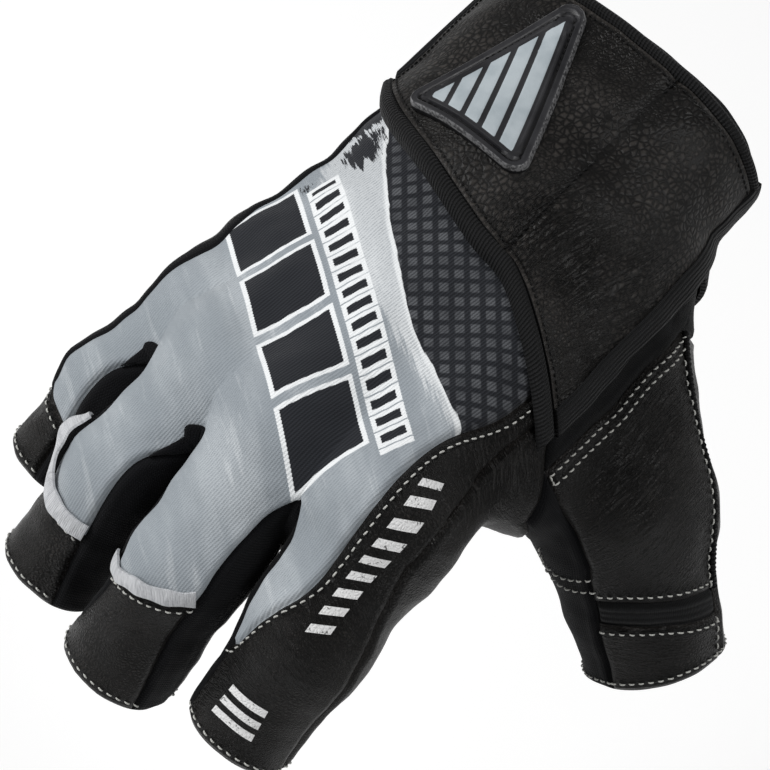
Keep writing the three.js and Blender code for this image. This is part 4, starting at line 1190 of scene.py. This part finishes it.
def rubberMaterial():
    material = newMaterial("badge rubber", 0.42, 0.5)
    groove, black, dusty, rimGlint, bar, paleBar = rubberColours.values()
    place = glovePlace(material)
    smudge = noise(place, 120, 3)
    colour = blendColour(between(smudge, 0.3, 0.7), black, dusty)
    # Painted shade: near black in the sunk sewn groove of the frame
    colour = blendColour(between(fieldOf(material, "level"), -0.45, -0.1), groove, colour)
    # Painted highlight: a pale line along the badge's outer edge, broken up by noise
    glintBreakup = between(noise(place, 1500, 3), 0.4, 0.56, 0.2, 1)
    rim = between(fieldOf(material, "reach"), 0.28, 0.5, 0.9, 0)
    colour = blendColour(times(glintBreakup, rim), colour, rimGlint)
    painted = between(fieldOf(material, "paint"), -0.06, 0.06)
    colour = blendColour(painted, colour, blendColour(between(smudge, 0.35, 0.7), bar, paleBar))
    gloss = between(smudge, 0.3, 0.7, 0.34, 0.5)
    return finishMaterial(material, colour, noise(place, 2400, 3), 0.00004, gloss)


threadOffset = 2.0  # from a panel's edge to the stitches along its seam
hemOffset = 2.3
leather, strapLeather = [leatherMaterial(name, **row) for name, row in leatherLooks.items()]
stretchCloth, liningCloth, neoprene = [knitMaterial(name, **row) for name, row in knitLooks.items()]
bindingCloth, endCloth, elasticCloth, whiteThread, blackThread = [
    ribbedMaterial(name, **row) for name, row in ribbedLooks.items()
]
twillCloth = twillMaterial()
whitePrint = printMaterial()
tapeCloth = tapeMaterial()
rubberLook = rubberMaterial()
print("materials made")


# Panels: heights over the form, from the point and its distance to the panel's edge
reliefWaves = [{"height": 0.22, "length": 19, "seed": 3}, {"height": 0.1, "length": 8, "seed": 5}]
seamShape = {"swell": 0.25, "swellAt": 1.9, "swellWidth": 1.0, "drop": 0.9, "dropWidth": 0.6}


def relief(points):
    return sum(row["height"] * wave(points, row["length"], row["seed"]) for row in reliefWaves)


def seamEdge(reach):
    swell = seamShape["swell"] * hump(reach - seamShape["swellAt"], seamShape["swellWidth"])
    return swell - seamShape["drop"] * hump(reach, seamShape["dropWidth"])


def panelTop(points, reach):
    return relief(points) + seamEdge(reach)


def offRelief(lift):
    return lambda points, reach: relief(points) + lift


def under(wall):
    return lambda points, reach: -wall


def fingerPlaces(bodyPlaces, number, rows, *columns):
    width = steps(*columns)
    start = bodyPlaces[-1, number * width : (number + 1) * width + 1]
    return patchPlaces(rows, start)


def blobs(rows):
    # A field that is 1 at each centre and fades over its radius
    def field(points):
        total = np.zeros(len(points))
        for centre, radius in rows:
            total = np.maximum(total, np.exp(-(((points - at(centre)) ** 2).sum(-1)) / radius**2))
        return total

    return field


def edgeLine(rows, offset):
    # The line on a patch at that distance, or those of each row, from its first column
    offsets = np.broadcast_to(offset, len(rows))
    return np.array([pointsAt(row, [stop])[0] for row, stop in zip(rows, offsets)])


def sideways(rows):
    return rows.transpose(1, 0, 2)


def lastFirst(rows):
    return rows[:, ::-1]


def evenly(line, spacing, passes=2):
    line = np.array(line)
    for _ in range(passes):
        line[1:-1] = (line[:-2] + 2 * line[1:-1] + line[2:]) / 4
    return pointsAt(line, np.arange(spacing / 2, lengthsAlong(line)[-1], spacing))


# A stitch, in shares of its length and girth and with its lift in millimetres
stitchShape = {
    "along": (-0.5, -0.38, -0.15, 0.15, 0.38, 0.5), "lift": (-0.3, 0.05, 0.2, 0.2, 0.05, -0.3),
    "girth": (0.45, 0.85, 1.0, 1.0, 0.85, 0.45),
}
stitchSides = 6
threadWear = np.random.default_rng(12)


def stitchRow(name, line, offset=threadOffset, top=panelTop, thread=whiteThread, slot="pull_tape", pitch=2.25,
              length=1.45, girth=0.21):
    middle = evenly(line, pitch)
    ahead, normals, over = lineFrame(middle)
    base = middle + normals * np.reshape(top(middle, np.full(len(middle), float(offset))), (-1, 1))
    lengths = length * threadWear.uniform(0.9, 1.1, len(middle))
    lean = threadWear.normal(0.1, 0.05, len(middle))
    spokes = roundSpokes(over, normals, stitchSides)
    rings = []
    for along, lift, thick in zip(*stitchShape.values()):
        core = base + ahead * (along * lengths)[:, None] + over * (along * lengths * lean)[:, None]
        rings.append((core + normals * lift)[:, None] + spokes * girth * thick)
    verts = np.stack(rings, 1).reshape(-1, 3)
    stitchFaces, stitchPlaces = tubeParts(len(rings), stitchSides, (0.2, 0.25))
    starts = range(0, len(verts), len(rings) * stitchSides)
    faces = [[start + corner for corner in face] for start in starts for face in stitchFaces]
    putMesh(name, verts, faces, [thread], stitchPlaces * len(middle))


# Fields on the back cloth: the dark zone's front edge, the white brushing along it and the splashes
zoneLine = np.array([
    (-0.34, -0.22), (-0.23, -0.305), (-0.09, -0.375), (0.02, -0.42), (0.14, -0.465), (0.23, -0.485),
    (0.34, -0.51), (0.46, -0.545),
]) * handSizes[:2]


def zoneField(points):
    flat = points[:, :2]
    best = np.full(len(points), 1e9)
    signed = np.zeros(len(points))
    for start, end in zip(zoneLine, zoneLine[1:]):
        distance = segmentDistance(flat, start, np.broadcast_to(end, flat.shape))
        ray = end - start
        side = np.sign(ray[0] * (flat[:, 1] - start[1]) - ray[1] * (flat[:, 0] - start[0]))
        signed = np.where(distance < best, side * distance, signed)
        best = np.minimum(best, distance)
    return signed


def brushField(points):
    return np.interp(points[:, 0], [-30, -12, 8, 34], [14, 11, 5, 1.6])


def splashField(points):
    spots = [((-0.28, -0.31, 0.3), 5.5), ((-0.31, -0.385, 0.2), 2.0), ((-0.33, -0.27, 0.2), 6.0)]
    return np.max([radius - np.linalg.norm(points - at(spot), axis=1) for spot, radius in spots], axis=0)


clothRound = 14.0


def flatPlaces(rows):
    # The cloth rolled out sideways, so that its twill runs straight from the hand into the fingers
    slope = np.clip(normalAt(rows.reshape(-1, 3)).reshape(rows.shape)[..., 0], -0.99, 0.99)
    across = rows[..., 0] + clothRound * (np.arcsin(slope) - slope)
    return np.stack([across, 0.6 * (20 - rows[..., 2]) - rows[..., 1]], -1)


clothPlaces = [flatPlaces(rows) for rows in (backBody, *clothFingers)]
wallPiece(
    "back_cloth", [backBody, *clothFingers], panelTop, under(seamWall["cloth"]), [twillCloth, liningCloth],
    ["back_panel"], clothPlaces,
    {"zone": zoneField, "brush": brushField, "splash": splashField},
)
handCreases = blobs([
    ((0.36, -0.76, 0.1), 14), ((0.38, -0.66, 0.4), 10), ((0.28, -0.83, -0.3), 10), ((0.47, -0.52, 0.2), 12),
    ((-0.26, -0.79, -0.3), 9), ((0.02, -0.82, -0.2), 9), ((-0.46, -0.71, -0.5), 8),
])


def leatherPiece(name, patches, node, places=None, creases=handCreases, lines=()):
    fields = {"crease": creases, "thread": threadField(lines)}
    outside = [leather, liningCloth]
    wallPiece(name, patches, panelTop, under(seamWall["leather"]), outside, [node], places, fields)


def threadField(lines):
    def field(points):
        if not lines:
            return np.full(len(points), 9.0)
        marks = np.concatenate([evenly(line, 0.8) for line in lines])
        tree = kdtree.KDTree(len(marks))
        for i, mark in enumerate(marks):
            tree.insert(mark, i)
        tree.balance()
        return np.array([tree.find(p)[2] for p in points])

    return field


for name, rows in capPatches.items():
    lines = {
        "seam": edgeLine(sideways(rows), threadOffset), "hem": edgeLine(lastFirst(sideways(rows)), hemOffset),
    }
    leatherPiece(name + "_leather_cap", [rows], name + "_cap", lines=list(lines.values()))
    for kind, line in lines.items():
        stitchRow(f"{name}_{kind}_stitches", line)
sidePlaces = patchPlaces(sideBody)
sidePlaces = [sidePlaces, fingerPlaces(sidePlaces, 0, sideFinger, sideColumns), patchPlaces(indexTip)]
indexSeam = [
    edgeLine(sideways(indexTip)[: steps(backColumns)], threadOffset)[:-3],
    edgeLine(sideFinger, threadOffset)[::-1][3:], edgeLine(sideBody, threadOffset)[::-1],
]
indexLines = {
    "seam": np.concatenate(indexSeam), "hem": edgeLine(lastFirst(sideways(indexTip)), hemOffset),
}
leatherPiece(
    "index_leather", [sideBody, sideFinger, indexTip], "index_side_leather", sidePlaces,
    lines=list(indexLines.values()),
)
for kind, line in indexLines.items():
    stitchRow(f"index_{kind}_stitches", line)
palmHems = [edgeLine(lastFirst(sideways(rows)), hemOffset) for rows in (*palmFingers, stripFinger)]
leatherPiece("palm_panel", [palmBody, *palmFingers, stripBody, stripFinger], "palm_leather", lines=palmHems)
for number, line in enumerate(palmHems):
    stitchRow(f"palm_hem_stitches_{number}", line)
stretchWall = under(seamWall["stretch"])
for gap in gaps:
    wallPiece(
        gap["name"].replace("fourchette", "stretch"), [fourchettePatch(gap)], panelTop, stretchWall,
        [stretchCloth, liningCloth], [gap["name"]],
    )

# Rolled edge of stretch cloth on the outer side of the hand
edging = {"stops": (0, 0.4, 0.9, 1.6, 2.4, 3.2, 3.8, 4.2), "roll": 1.4, "height": 0.85, "sunk": 0.1}
edgingRows = np.stack([
    np.concatenate([edgeLine(backBody, stop), edgeLine(clothFingers[0], stop)[1:]])
    for stop in edging["stops"]
], 1)


def edgingTop(points, reach):
    rolled = 1 - np.minimum(reach, edging["roll"]) / edging["roll"]
    return relief(points) + edging["height"] * np.sqrt(np.clip(1 - rolled**2, 0, 1)) - edging["sunk"]


def edgingBottom(points, reach):
    return relief(points) - 0.4 - 0.6 * np.exp(-reach)


bothStretch = [stretchCloth, stretchCloth]
wallPiece("pinky_side_edging", [edgingRows], edgingTop, edgingBottom, bothStretch)

# Rounded upper ends of the slots between the fingers, sewn on the back cloth
slotTips = {
    "pinkyRing": {"finger": 0, "length": 4.5, "width": 4.4, "taper": 8.0},
    "ringMiddle": {"finger": 1, "length": 6.5, "width": 4.8, "taper": 10.5},
}
tipLift = {"edge": 0.42, "rise": 0.4, "within": 0.8, "sunk": 0.5}


def slotTip(seam, length, width):
    line = np.array(back[seam][::-1])
    stops = length * np.sin(np.linspace(0, math.pi / 2, 6 * density))
    middle = pointsAt(line, stops)
    over = unit(np.cross(line[3 * density] - line[0], up))
    rounded = np.clip((stops - (length - width / 2)) / (width / 2), 0, 0.995)
    half = width / 2 * np.sqrt(1 - rounded**2)
    across = np.linspace(-1.8, 1, 3 * density)
    return settle(middle[:, None] + over * (across * half[:, None])[..., None])


def slotTaper(finger, width, taper):
    rows = lastFirst(clothFingers[finger])
    reach = lengthsAlong(rows[:, 0])
    shown = rows[: int((reach < taper).sum()) + 1]
    breadth = width * np.clip(1 - reach[: len(shown)] / taper, 0.02, 1)
    return np.stack([edgeLine(shown, breadth * share) for share in np.linspace(0, 1, 2 * density)], 1)


def slotTipTop(points, reach):
    rise = tipLift["rise"] * np.sqrt(np.clip(reach / tipLift["within"], 0, 1))
    return relief(points) + rise + tipLift["edge"]


for seam, row in slotTips.items():
    patches = [
        slotTip(seam, row["length"], row["width"]), slotTaper(row["finger"], row["width"], row["taper"]),
    ]
    low = offRelief(-tipLift["sunk"])
    wallPiece("slot_tip_" + seam, patches, slotTipTop, low, bothStretch)


# Generic marks in white print: slanted bars along the index finger and three plain bars at its tip
indexPrint = {
    "bars": 9, "nearSpan": (0.0, 0.46), "farSpan": (0.3, 0.76),  # from and to, in a bar's share of the strip
    "near": [(0.394, -0.776, 0.08), (0.389, -0.582, 0.5)],
    "far": [(0.436, -0.766, 0.05), (0.424, -0.573, 0.44)],
}
tipPrint = {
    "centre": (0.36, -0.857, -0.38), "along": (0.154, 0.006, -0.06), "up": (0.015, 0.04, 0.315), "pitch": 3.4,
    "halfLength": 4.6, "halfHeight": 0.9,
}


def mixed(start, end, share):
    return start + (end - start) * share


def printBar(low, high, lowFar, highFar):
    down, over = np.linspace(0, 1, 5)[:, None, None], np.linspace(0, 1, 2 * density)[None, :, None]
    return settle(mixed(mixed(low, lowFar, over), mixed(high, highFar, over), down))


bars = []
for number in range(indexPrint["bars"]):
    bars.append(printBar(*[
        mixed(*at(indexPrint[side]), (number + share) / indexPrint["bars"])
        for side in ("near", "far") for share in indexPrint[side + "Span"]
    ]))
tipAlong, tipUp = unit(at(tipPrint["along"])), unit(at(tipPrint["up"]))
for level in (-1, 0, 1):
    middle = at(tipPrint["centre"]) + tipUp * tipPrint["pitch"] * level
    bars.append(printBar(*[
        middle + tipAlong * x * tipPrint["halfLength"] + tipUp * y * tipPrint["halfHeight"]
        for x in (-1, 1) for y in (-1, 1)
    ]))
wallPiece("index_print", bars, offRelief(0.12), offRelief(-0.3), [whitePrint, whitePrint])
print("hand panels made")

thumbBack = thumb[:, : stitchedEnd + 1]
thumbLeatherRows = thumbBack[: bandRow + 1]
thumbTipRows = thumbBack[tipRow:]
thumbFrontRows = thumb[:, stitchedEnd : sideClothStart + 1]
thumbSideRows = thumb[:, sideClothStart:]
thumbCreases = blobs([
    ((0.72, -0.4, -0.3), 14), ((0.8, -0.39, -0.6), 11), ((0.83, -0.47, -0.95), 10), ((0.57, -0.3, -0.1), 12),
])
thumbStitches = {"root": 1.3, "inner": 3.7, "tipTop": 1.6}  # from the panel's edge
thumbLines = {
    "root": edgeLine(sideways(thumbLeatherRows), thumbStitches["root"]),
    "root_inner": edgeLine(sideways(thumbLeatherRows), thumbStitches["inner"]),
    "outer": edgeLine(lastFirst(thumbLeatherRows), threadOffset)[4:],
    "band": edgeLine(lastFirst(sideways(thumbLeatherRows)), threadOffset)[2:],
}
tipLines = {
    "tip_top": edgeLine(sideways(thumbTipRows), thumbStitches["tipTop"]),
    "tip_outer": edgeLine(lastFirst(thumbTipRows), threadOffset),
    "tip_hem": edgeLine(lastFirst(sideways(thumbTipRows)), hemOffset),
}
frontLines = {"front_hem": edgeLine(lastFirst(sideways(thumbFrontRows)), hemOffset)}
for name, rows, node, lines in (
    ("thumb_back_leather", thumbLeatherRows, "thumb_leather", thumbLines),
    ("thumb_tip", thumbTipRows, "thumb_tip_leather", tipLines),
    ("thumb_front", thumbFrontRows, "thumb_palm_leather", frontLines),
):
    leatherPiece(name, [rows], node, None, thumbCreases, list(lines.values()))
bandSunk = 0.5


def bandTop(points, reach):
    return relief(points) - bandSunk + seamEdge(reach)


wallPiece(
    "thumb_band", [thumbBack[bandRow : tipRow + 1]], bandTop, under(seamWall["cloth"]),
    [elasticCloth, liningCloth], ["thumb_elastic_band"],
)
wallPiece(
    "thumb_stretch", [thumbSideRows], panelTop, stretchWall, [stretchCloth, liningCloth],
    ["thumb_side_cloth"],
)
sideLines = {"side_hem": edgeLine(lastFirst(sideways(thumbSideRows)), hemOffset)}
for kind, line in {**thumbLines, **tipLines, **frontLines, **sideLines}.items():
    stitchRow(f"thumb_{kind}_stitches", line)
rootEnd = np.linspace(thumbLines["root"][1], thumbLines["root_inner"][1], 6)
stitchRow("thumb_root_end_stitches", rootEnd, pitch=1.2, length=0.9)
crossings = {
    "upper": [(0.0, -72), (0.12, -79), (0.2, -70), (0.22, -44)],
    "lower": [(0.07, -76), (0.2, -81), (0.28, -72), (0.31, -46)],
}
for kind, keys in crossings.items():
    line = settle(curveAt(digitPlace("thumb", *np.array(keys, float).T), np.linspace(0, 1, 60)))
    stitchRow(f"thumb_crossing_{kind}_stitches", line)
wallPiece(
    "cuff_tube", [cuff], panelTop, under(seamWall["neoprene"]), [neoprene, liningCloth], ["cuff"],
)

# Overcast edge on the thumb's outer side: a thin round rope with a turn every pitch
piping = {"girth": 0.75, "pitch": 1.15, "stops": 5, "swell": 0.16, "sides": 10}
middle = evenly(thumb[: bandRow + 1, stitchedEnd], piping["pitch"] / piping["stops"], 4)
_, normals, over = lineFrame(middle)
angles = np.arange(piping["sides"]) * 2 * math.pi / piping["sides"]
turns = np.arange(len(middle)) / piping["stops"] * 2 * math.pi
swell = 1 + piping["swell"] * np.cos(turns[:, None] + angles)
verts = middle[:, None] + roundSpokes(over, normals, piping["sides"]) * (piping["girth"] * swell)[..., None]
faces, places = tubeParts(len(middle), piping["sides"], 0.3)
putMesh("thumb_outer_piping", verts.reshape(-1, 3), faces, [bindingCloth], places)
print("thumb and cuff made")

# Strap: heights over the form
strapShape = {
    "edgeDrop": 0.6, "puff": 0.7, "puffWidth": 9,
    "folds": 0.25, "foldsAt": (0.25, -0.29, 0.5), "foldsRadius": 18,
    "valley": 1.0, "valleyWidth": 1.9, "ridge": 0.2, "ridgeAt": 4.4, "ridgeWidth": 2,
}
strapSeam = at([(0.16, -0.335, 0.5), (0.16, -0.22, 0.55), (0.152, -0.115, 0.5), (0.15, -0.018, 0.5)])
bindingRound = 2.2


def strapSeamReach(points):
    marks = curveAt(strapSeam, np.linspace(0, 1, 60))[:, :2]
    return np.linalg.norm(points[..., None, :2] - marks, axis=-1).min(-1)


def strapBottom(points, reach):
    return strapLift + strapRise(points)


def strapTop(points, reach):
    puff = strapShape["puff"] * smooth(0, strapShape["puffWidth"], reach) - strapShape["edgeDrop"]
    near = hump(np.linalg.norm(points - at(strapShape["foldsAt"]), axis=-1), strapShape["foldsRadius"])
    folds = strapShape["folds"] * wave(points * (1, 0.5, 1), 9, 21) * near
    seam = strapSeamReach(points)
    valley = strapShape["valley"] * hump(seam, strapShape["valleyWidth"])
    ridge = strapShape["ridge"] * hump(seam - strapShape["ridgeAt"], strapShape["ridgeWidth"])
    return strapWall + strapBottom(points, reach) + puff + relief(points) + folds + ridge - valley


def bindingTop(points, reach):
    rounded = np.clip(1 - (1 - reach / bindingRound) ** 2, 0.05, 1)
    return strapBottom(points, reach) + bindingWall * np.sqrt(rounded)


def thumbBandTop(points, reach):
    return strapTop(points, reach + strapShape["puffWidth"]) + 0.45 - 0.4 * np.exp(-reach / 0.4)


def elasticTop(points, reach):
    return strapLift + elasticWall - 0.5 * np.exp(-reach / 0.5)


strapCreases = blobs([
    ((0.2, -0.29, 0.55), 9), ((0.3, -0.29, 0.48), 9), ((0.42, -0.25, 0.25), 10), ((0.46, -0.34, 0.15), 10),
])
padRows = strapGrid[endRow:, leatherColumn : frontColumn + 1]
strap = wallPiece(
    "strap_pad", [padRows], strapTop, strapBottom, [strapLeather, liningCloth],
    ["strap_leather"], None, {"crease": strapCreases, "thread": strapSeamReach},
)
blackStitch = {"thread": blackThread, "slot": "stretch_cloth"}
seamLine = settle(curveAt(strapSeam, np.linspace(0.01, 0.99, 80)))
stitchRow("strap_stitches", seamLine, 20, strapTop, pitch=2.0, girth=0.28, **blackStitch)
edgeStitch = 1.3  # from the bindings
padEdges = {"front": lastFirst(padRows), "rear": padRows, "end": sideways(padRows)}
for side, rows in padEdges.items():
    line = edgeLine(rows, edgeStitch)
    stitchRow(f"strap_{side}_stitches", line, edgeStitch, strapTop, pitch=1.5, length=1.2, **blackStitch)
strapEdges = {
    "rear": {"rows": strapGrid[:, : leatherColumn + 1], "cloth": bindingCloth, "slot": "ribbed_elastic"},
    "front": {"rows": strapGrid[:, frontColumn:], "cloth": bindingCloth, "slot": "ribbed_elastic"},
    "end": {
        "rows": strapGrid[: endRow + 1, leatherColumn : frontColumn + 1],
        "cloth": endCloth, "slot": "smooth_binding",
    },
}
for side, row in strapEdges.items():
    wallPiece(
        f"strap_{side}_edge", [row["rows"]], bindingTop, strapBottom, [row["cloth"]] * 2,
        [f"strap_{side}_binding"],
    )
bandRows = strapGrid[-steps(1) :, : frontColumn + 1]
wallPiece("strap_thumb_band", [bandRows], thumbBandTop, strapBottom, [bindingCloth] * 2)
wallPiece(
    "strap_stretch", [elastic], elasticTop, lambda points, reach: strapLift, [elasticCloth] * 2,
    ["strap_elastic"],
)
print("strap made")

# Rubber badge: a rounded triangle with a flat frame, a sewn groove, a ridge and a sunk field with plain bars
badgeCorners = at([(-0.247, -0.262, 0.45), (-0.117, 0.002, 0.52), (0.112, -0.268, 0.61)])
badge = {
    "corner": 3.6, "arcSteps": 10, "sideSteps": 44, "rings": 44, "lift": 0.25, "depth": 0.9, "field": 1.45,
    "reach": (0, 0.1, 0.25, 0.45, 0.6, 1.6, 1.75, 1.95, 2.45, 2.65, 2.8, 3.05, 3.2, 3.4, 30),
    "height": (0.4, 1.2, 1.75, 1.85, 1.7, 1.7, 1.55, 0.95, 0.95, 1.6, 1.85, 1.85, 1.6, 1.45, 1.45),
}
badgeBars = {"edge": 4.1, "period": 4.6, "half": 1.65, "lift": 0.18, "soft": 0.12}
badgeSewing = {"reach": 2.2, "lift": 1.2, "pitch": 1.7, "length": 1.35, "girth": 0.22}


def badgeOutline():
    points = []
    radius = badge["corner"]
    for i, corner in enumerate(badgeCorners):
        following, previous = badgeCorners[(i + 1) % 3], badgeCorners[(i + 2) % 3]
        before, after = unit(previous - corner), unit(following - corner)
        half = math.acos(before @ after) / 2
        nextHalf = math.acos(-(unit(previous - following) @ after)) / 2
        middle = corner + unit(before + after) * radius / math.sin(half)
        first = corner + before * radius / math.tan(half) - middle
        second = corner + after * radius / math.tan(half) - middle
        for share in np.linspace(0, 1, badge["arcSteps"] + 1):
            points.append(middle + radius * unit(mixed(first, second, share)))
        arcEnd, sideEnd = points[-1], following - after * radius / math.tan(nextHalf)
        points += [mixed(arcEnd, sideEnd, k / badge["sideSteps"]) for k in range(1, badge["sideSteps"])]
    return np.array(points)


outline = badgeOutline()
badgeCentre = badgeCorners.mean(0)
ringShares = (1 - 0.98 * (1 - np.linspace(0, 1, badge["rings"] + 1)) ** 1.5)[:, None, None]
badgeFlat = mixed(badgeCentre, outline, ringShares)
badgeReach = np.min([
    segmentDistance(badgeFlat, start, np.broadcast_to(end, badgeFlat.shape))
    for start, end in zip(outline, np.roll(outline, -1, 0))
], axis=0)
farSide = unit(badgeCorners[2] - badgeCorners[1])
fromSide = badgeFlat - badgeCorners[1]
fromSide = np.linalg.norm(fromSide - (fromSide @ farSide)[..., None] * farSide, axis=-1)
period, half = badgeBars["period"], badgeBars["half"]
phase = np.abs((fromSide - badgeBars["edge"] - half + period / 2) % period - period / 2)
paint = np.minimum(half - phase, badgeReach - badgeBars["edge"])
badgeProfile = np.interp(badgeReach, badge["reach"], badge["height"])
badgeHeight = badgeProfile + badgeBars["lift"] * smooth(-badgeBars["soft"], badgeBars["soft"], paint)

# The stiff badge bridges the small bumps under it: its base is the quadratic surface that fits them best
badgeWay = unit(np.cross(badgeCorners[2] - badgeCorners[0], badgeCorners[1] - badgeCorners[0]))
badgeScale = 30.0
badgeSteps = 8


def dropped(points):
    # Onto the form along the badge's own direction, which keeps straight edges straight
    for _ in range(badgeSteps):
        points = points - badgeWay * (form(points) / (normalAt(points) @ badgeWay))[..., None]
    return points


def badgeTerms(points):
    offset = (points - badgeCentre) / badgeScale
    u, v = offset @ farSide, offset @ np.cross(badgeWay, farSide)
    return np.stack([np.ones_like(u), u, v, u * u, u * v, v * v], -1)


badgeDrops = ((dropped(badgeFlat) - badgeFlat) @ badgeWay).ravel()
badgeFactors = np.linalg.lstsq(badgeTerms(badgeFlat).reshape(-1, 6), badgeDrops, rcond=None)[0]


def badgeBase(points):
    return points + badgeWay * (badgeTerms(points) @ badgeFactors)[..., None]


def badgeMesh():
    seat = strapLift + strapWall + strapRise(badgeFlat) + badge["lift"]
    base = badgeBase(badgeFlat)
    levels = [base + badgeWay * lift[..., None] for lift in (seat + badgeHeight, seat - badge["depth"])]
    verts = np.concatenate([level.reshape(-1, 3) for level in levels])
    grid = np.arange(badgeReach.size).reshape(badgeReach.shape)
    count = grid.size
    quads = ringQuads(grid)[:, turnedOver]
    edge, following = grid[-1], np.roll(grid[-1], -1)
    rim = np.stack([edge, edge + count, following + count, following], -1)
    faces = [*quads.tolist(), *(quads[:, ::-1] + count).tolist(), *rim.tolist()]
    faces += [grid[0].tolist(), (grid[0] + count)[::-1].tolist()]
    places = [verts[face][:, :2] for face in faces]
    fields = {"reach": badgeReach, "level": badgeProfile - badge["field"], "paint": paint}
    attributes = {key: np.tile(value.ravel(), 2) for key, value in fields.items()}
    attributes["paint"][count:] = -9
    attributes["reach"][count:] = 3
    piece = putMesh("badge", verts, faces, [rubberLook], places, None, attributes, 60)
    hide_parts("strap_badge")


def badgeStitchTop(points, reach):
    return strapLift + strapWall + strapRise(points) + badgeSewing["lift"]


badgeMesh()
sewnShares = [
    np.interp(badgeSewing["reach"], column, ringShares[::-1, 0, 0]) for column in badgeReach[::-1].T
]
sewnLine = mixed(badgeCentre, outline, np.array(sewnShares)[:, None])
stitchRow(
    "badge_stitches", badgeBase(np.vstack([sewnLine, sewnLine[:1]])), 0, badgeStitchTop, **blackStitch,
    **{key: badgeSewing[key] for key in ("pitch", "length", "girth")},
)
print("badge made")

# Pull tapes: middle lines as share along the finger, degrees round it and lift off it
tapes = {
    "ring": {
        "line": [
            (0.68, 32, 0.5), (0.685, 5, 0.6), (0.665, -30, 0.8), (0.6, -54, 1.3), (0.52, -60, 1.7),
            (0.44, -60, 0.7),
        ],
        "width": 4.3, "twist": -1.2,
    },
    "middle": {
        "line": [(0.525, 46, 0.4), (0.567, 21, 0.6), (0.6, -5, 0.7), (0.63, -30, 0.7), (0.62, -52, 0.4)],
        "width": 3.6, "twist": 0.0,
    },
}
tapeShape = {
    "wall": 0.8, "stops": 70, "rows": 8, "wave": 0.06, "curl": 0.25, "creases": 0.12, "roundEdge": 0.27,
}


def tapeMesh(name, line, width, twist):
    share, degrees, lift = np.array(line, float).T
    keys = digitPlace(name, share, degrees)
    even = evenShares(keys, np.linspace(0, 1, tapeShape["stops"]))
    middle = settle(curveAt(keys, even))
    raised = np.interp(even, np.linspace(0, 1, len(keys)), lift)
    _, normals, over = lineFrame(middle)
    places = np.linspace(-1, 1, tapeShape["rows"] + 1)
    half = width / 2 * (1 + tapeShape["wave"] * wave(middle, 6, 31))
    sides = settle(middle[:, None] + over[:, None] * (places * half[:, None])[..., None])
    roll = 0.8 * twist * smooth(0.55, 0.8, even) * (1 - smooth(0.85, 1, even))
    curl = raised[:, None] + tapeShape["curl"] * (1 - places**2) + roll[:, None] * (places - 1)
    curl = curl + tapeShape["creases"] * wave(sides, 5, 33)
    wall = tapeShape["wall"]
    top, low = [
        sides + normals[:, None] * (curl + height)[..., None]
        for height in (wall, wall * tapeShape["roundEdge"] * np.abs(places) ** 4)
    ]
    rings = np.concatenate([top, low[:, ::-1]], 1)
    faces, corners = tubeParts(*rings.shape[:2], 0.4, turned=True)
    piece = putMesh(name + "_tape", rings.reshape(-1, 3), faces, [tapeCloth], corners, sharp=40)
    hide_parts(name + "_pull_tape")


for name, row in tapes.items():
    tapeMesh(name, **row)
print("tapes made")

# Camera at the photograph's viewing angle
view = {
    "azimuth": 42, "elevation": 60, "aim": (15.5, -103.7, 12.0), "distance": 620.0, "lens": 134.8, "sensor": 36,
}
azimuth, elevation = math.radians(view["azimuth"]), math.radians(view["elevation"])
aim = np.array(view["aim"])
level = np.array([math.sin(azimuth), -math.cos(azimuth), 0]) * math.cos(elevation)
backwards = level + up * math.sin(elevation)
rightwards = np.array([math.cos(azimuth), math.sin(azimuth), 0])
cameraData = bpy.data.cameras.new("camera")
cameraData.lens = view["lens"]
cameraData.sensor_width = view["sensor"]
cameraData.clip_end = 10
camera = bpy.data.objects.new("camera", cameraData)
bpy.context.scene.collection.objects.link(camera)
turned = np.eye(4)
turned[:3, :3] = np.stack([rightwards, np.cross(backwards, rightwards), backwards], 1)
turned[:3, 3] = (aim + view["distance"] * backwards) * millimetre
camera.matrix_world = Matrix(turned.tolist())
bpy.context.scene.camera = camera
bpy.context.scene.view_settings.view_transform = "Standard"

# Pale floor and soft studio light, in metres
pale = {"drop": 0.2, "half": 6, "dark": (0.95, 0.95, 0.95), "light": (0.97, 0.97, 0.97), "glow": 0.2}
low, half = cadBox[0][2] - pale["drop"], pale["half"]
floorMesh = bpy.data.meshes.new("floor")
corners = [(-half, -half, low), (half, -half, low), (half, half, low), (-half, half, low)]
floorMesh.from_pydata(corners, [], [(0, 1, 2, 3)])
floor = bpy.data.objects.new("floor", floorMesh)
bpy.context.scene.collection.objects.link(floor)
floorLook = newMaterial("pale floor", 0.9, 0.1)
mottled = noise(glovePlace(floorLook), 3)
finishMaterial(floorLook, blendColour(mottled, pale["dark"], pale["light"]), mottled, 0.0001)
floorShader = floorLook.node_tree.nodes["Principled BSDF"]
floorShader.inputs["Emission Color"].default_value = (1, 1, 1, 1)
floorShader.inputs["Emission Strength"].default_value = pale["glow"]
floorMesh.materials.append(floorLook)
world = bpy.data.worlds.new("studio")
world.use_nodes = True
background = world.node_tree.nodes["Background"]
background.inputs["Color"].default_value = (1, 1, 1, 1)
background.inputs["Strength"].default_value = 0.24
bpy.context.scene.world = world
lights = {
    "key": {"from": (-0.75, -0.25, 0.85), "size": 0.6, "power": 9},
    "front": {"from": (-0.4, -0.85, 0.5), "size": 0.35, "power": 2.2},
    "side": {"from": (0.62, 0.42, 0.78), "size": 0.35, "power": 3.5},
}
centre = Vector((aim * millimetre).tolist())
for name, row in lights.items():
    lamp = bpy.data.lights.new(name, "AREA")
    lamp.size = row["size"]
    lamp.energy = row["power"]
    lampObject = bpy.data.objects.new(name, lamp)
    bpy.context.scene.collection.objects.link(lampObject)
    lampObject.location = centre + Vector(row["from"])
    lampObject.rotation_euler = (-Vector(row["from"])).to_track_quat("-Z", "Y").to_euler()
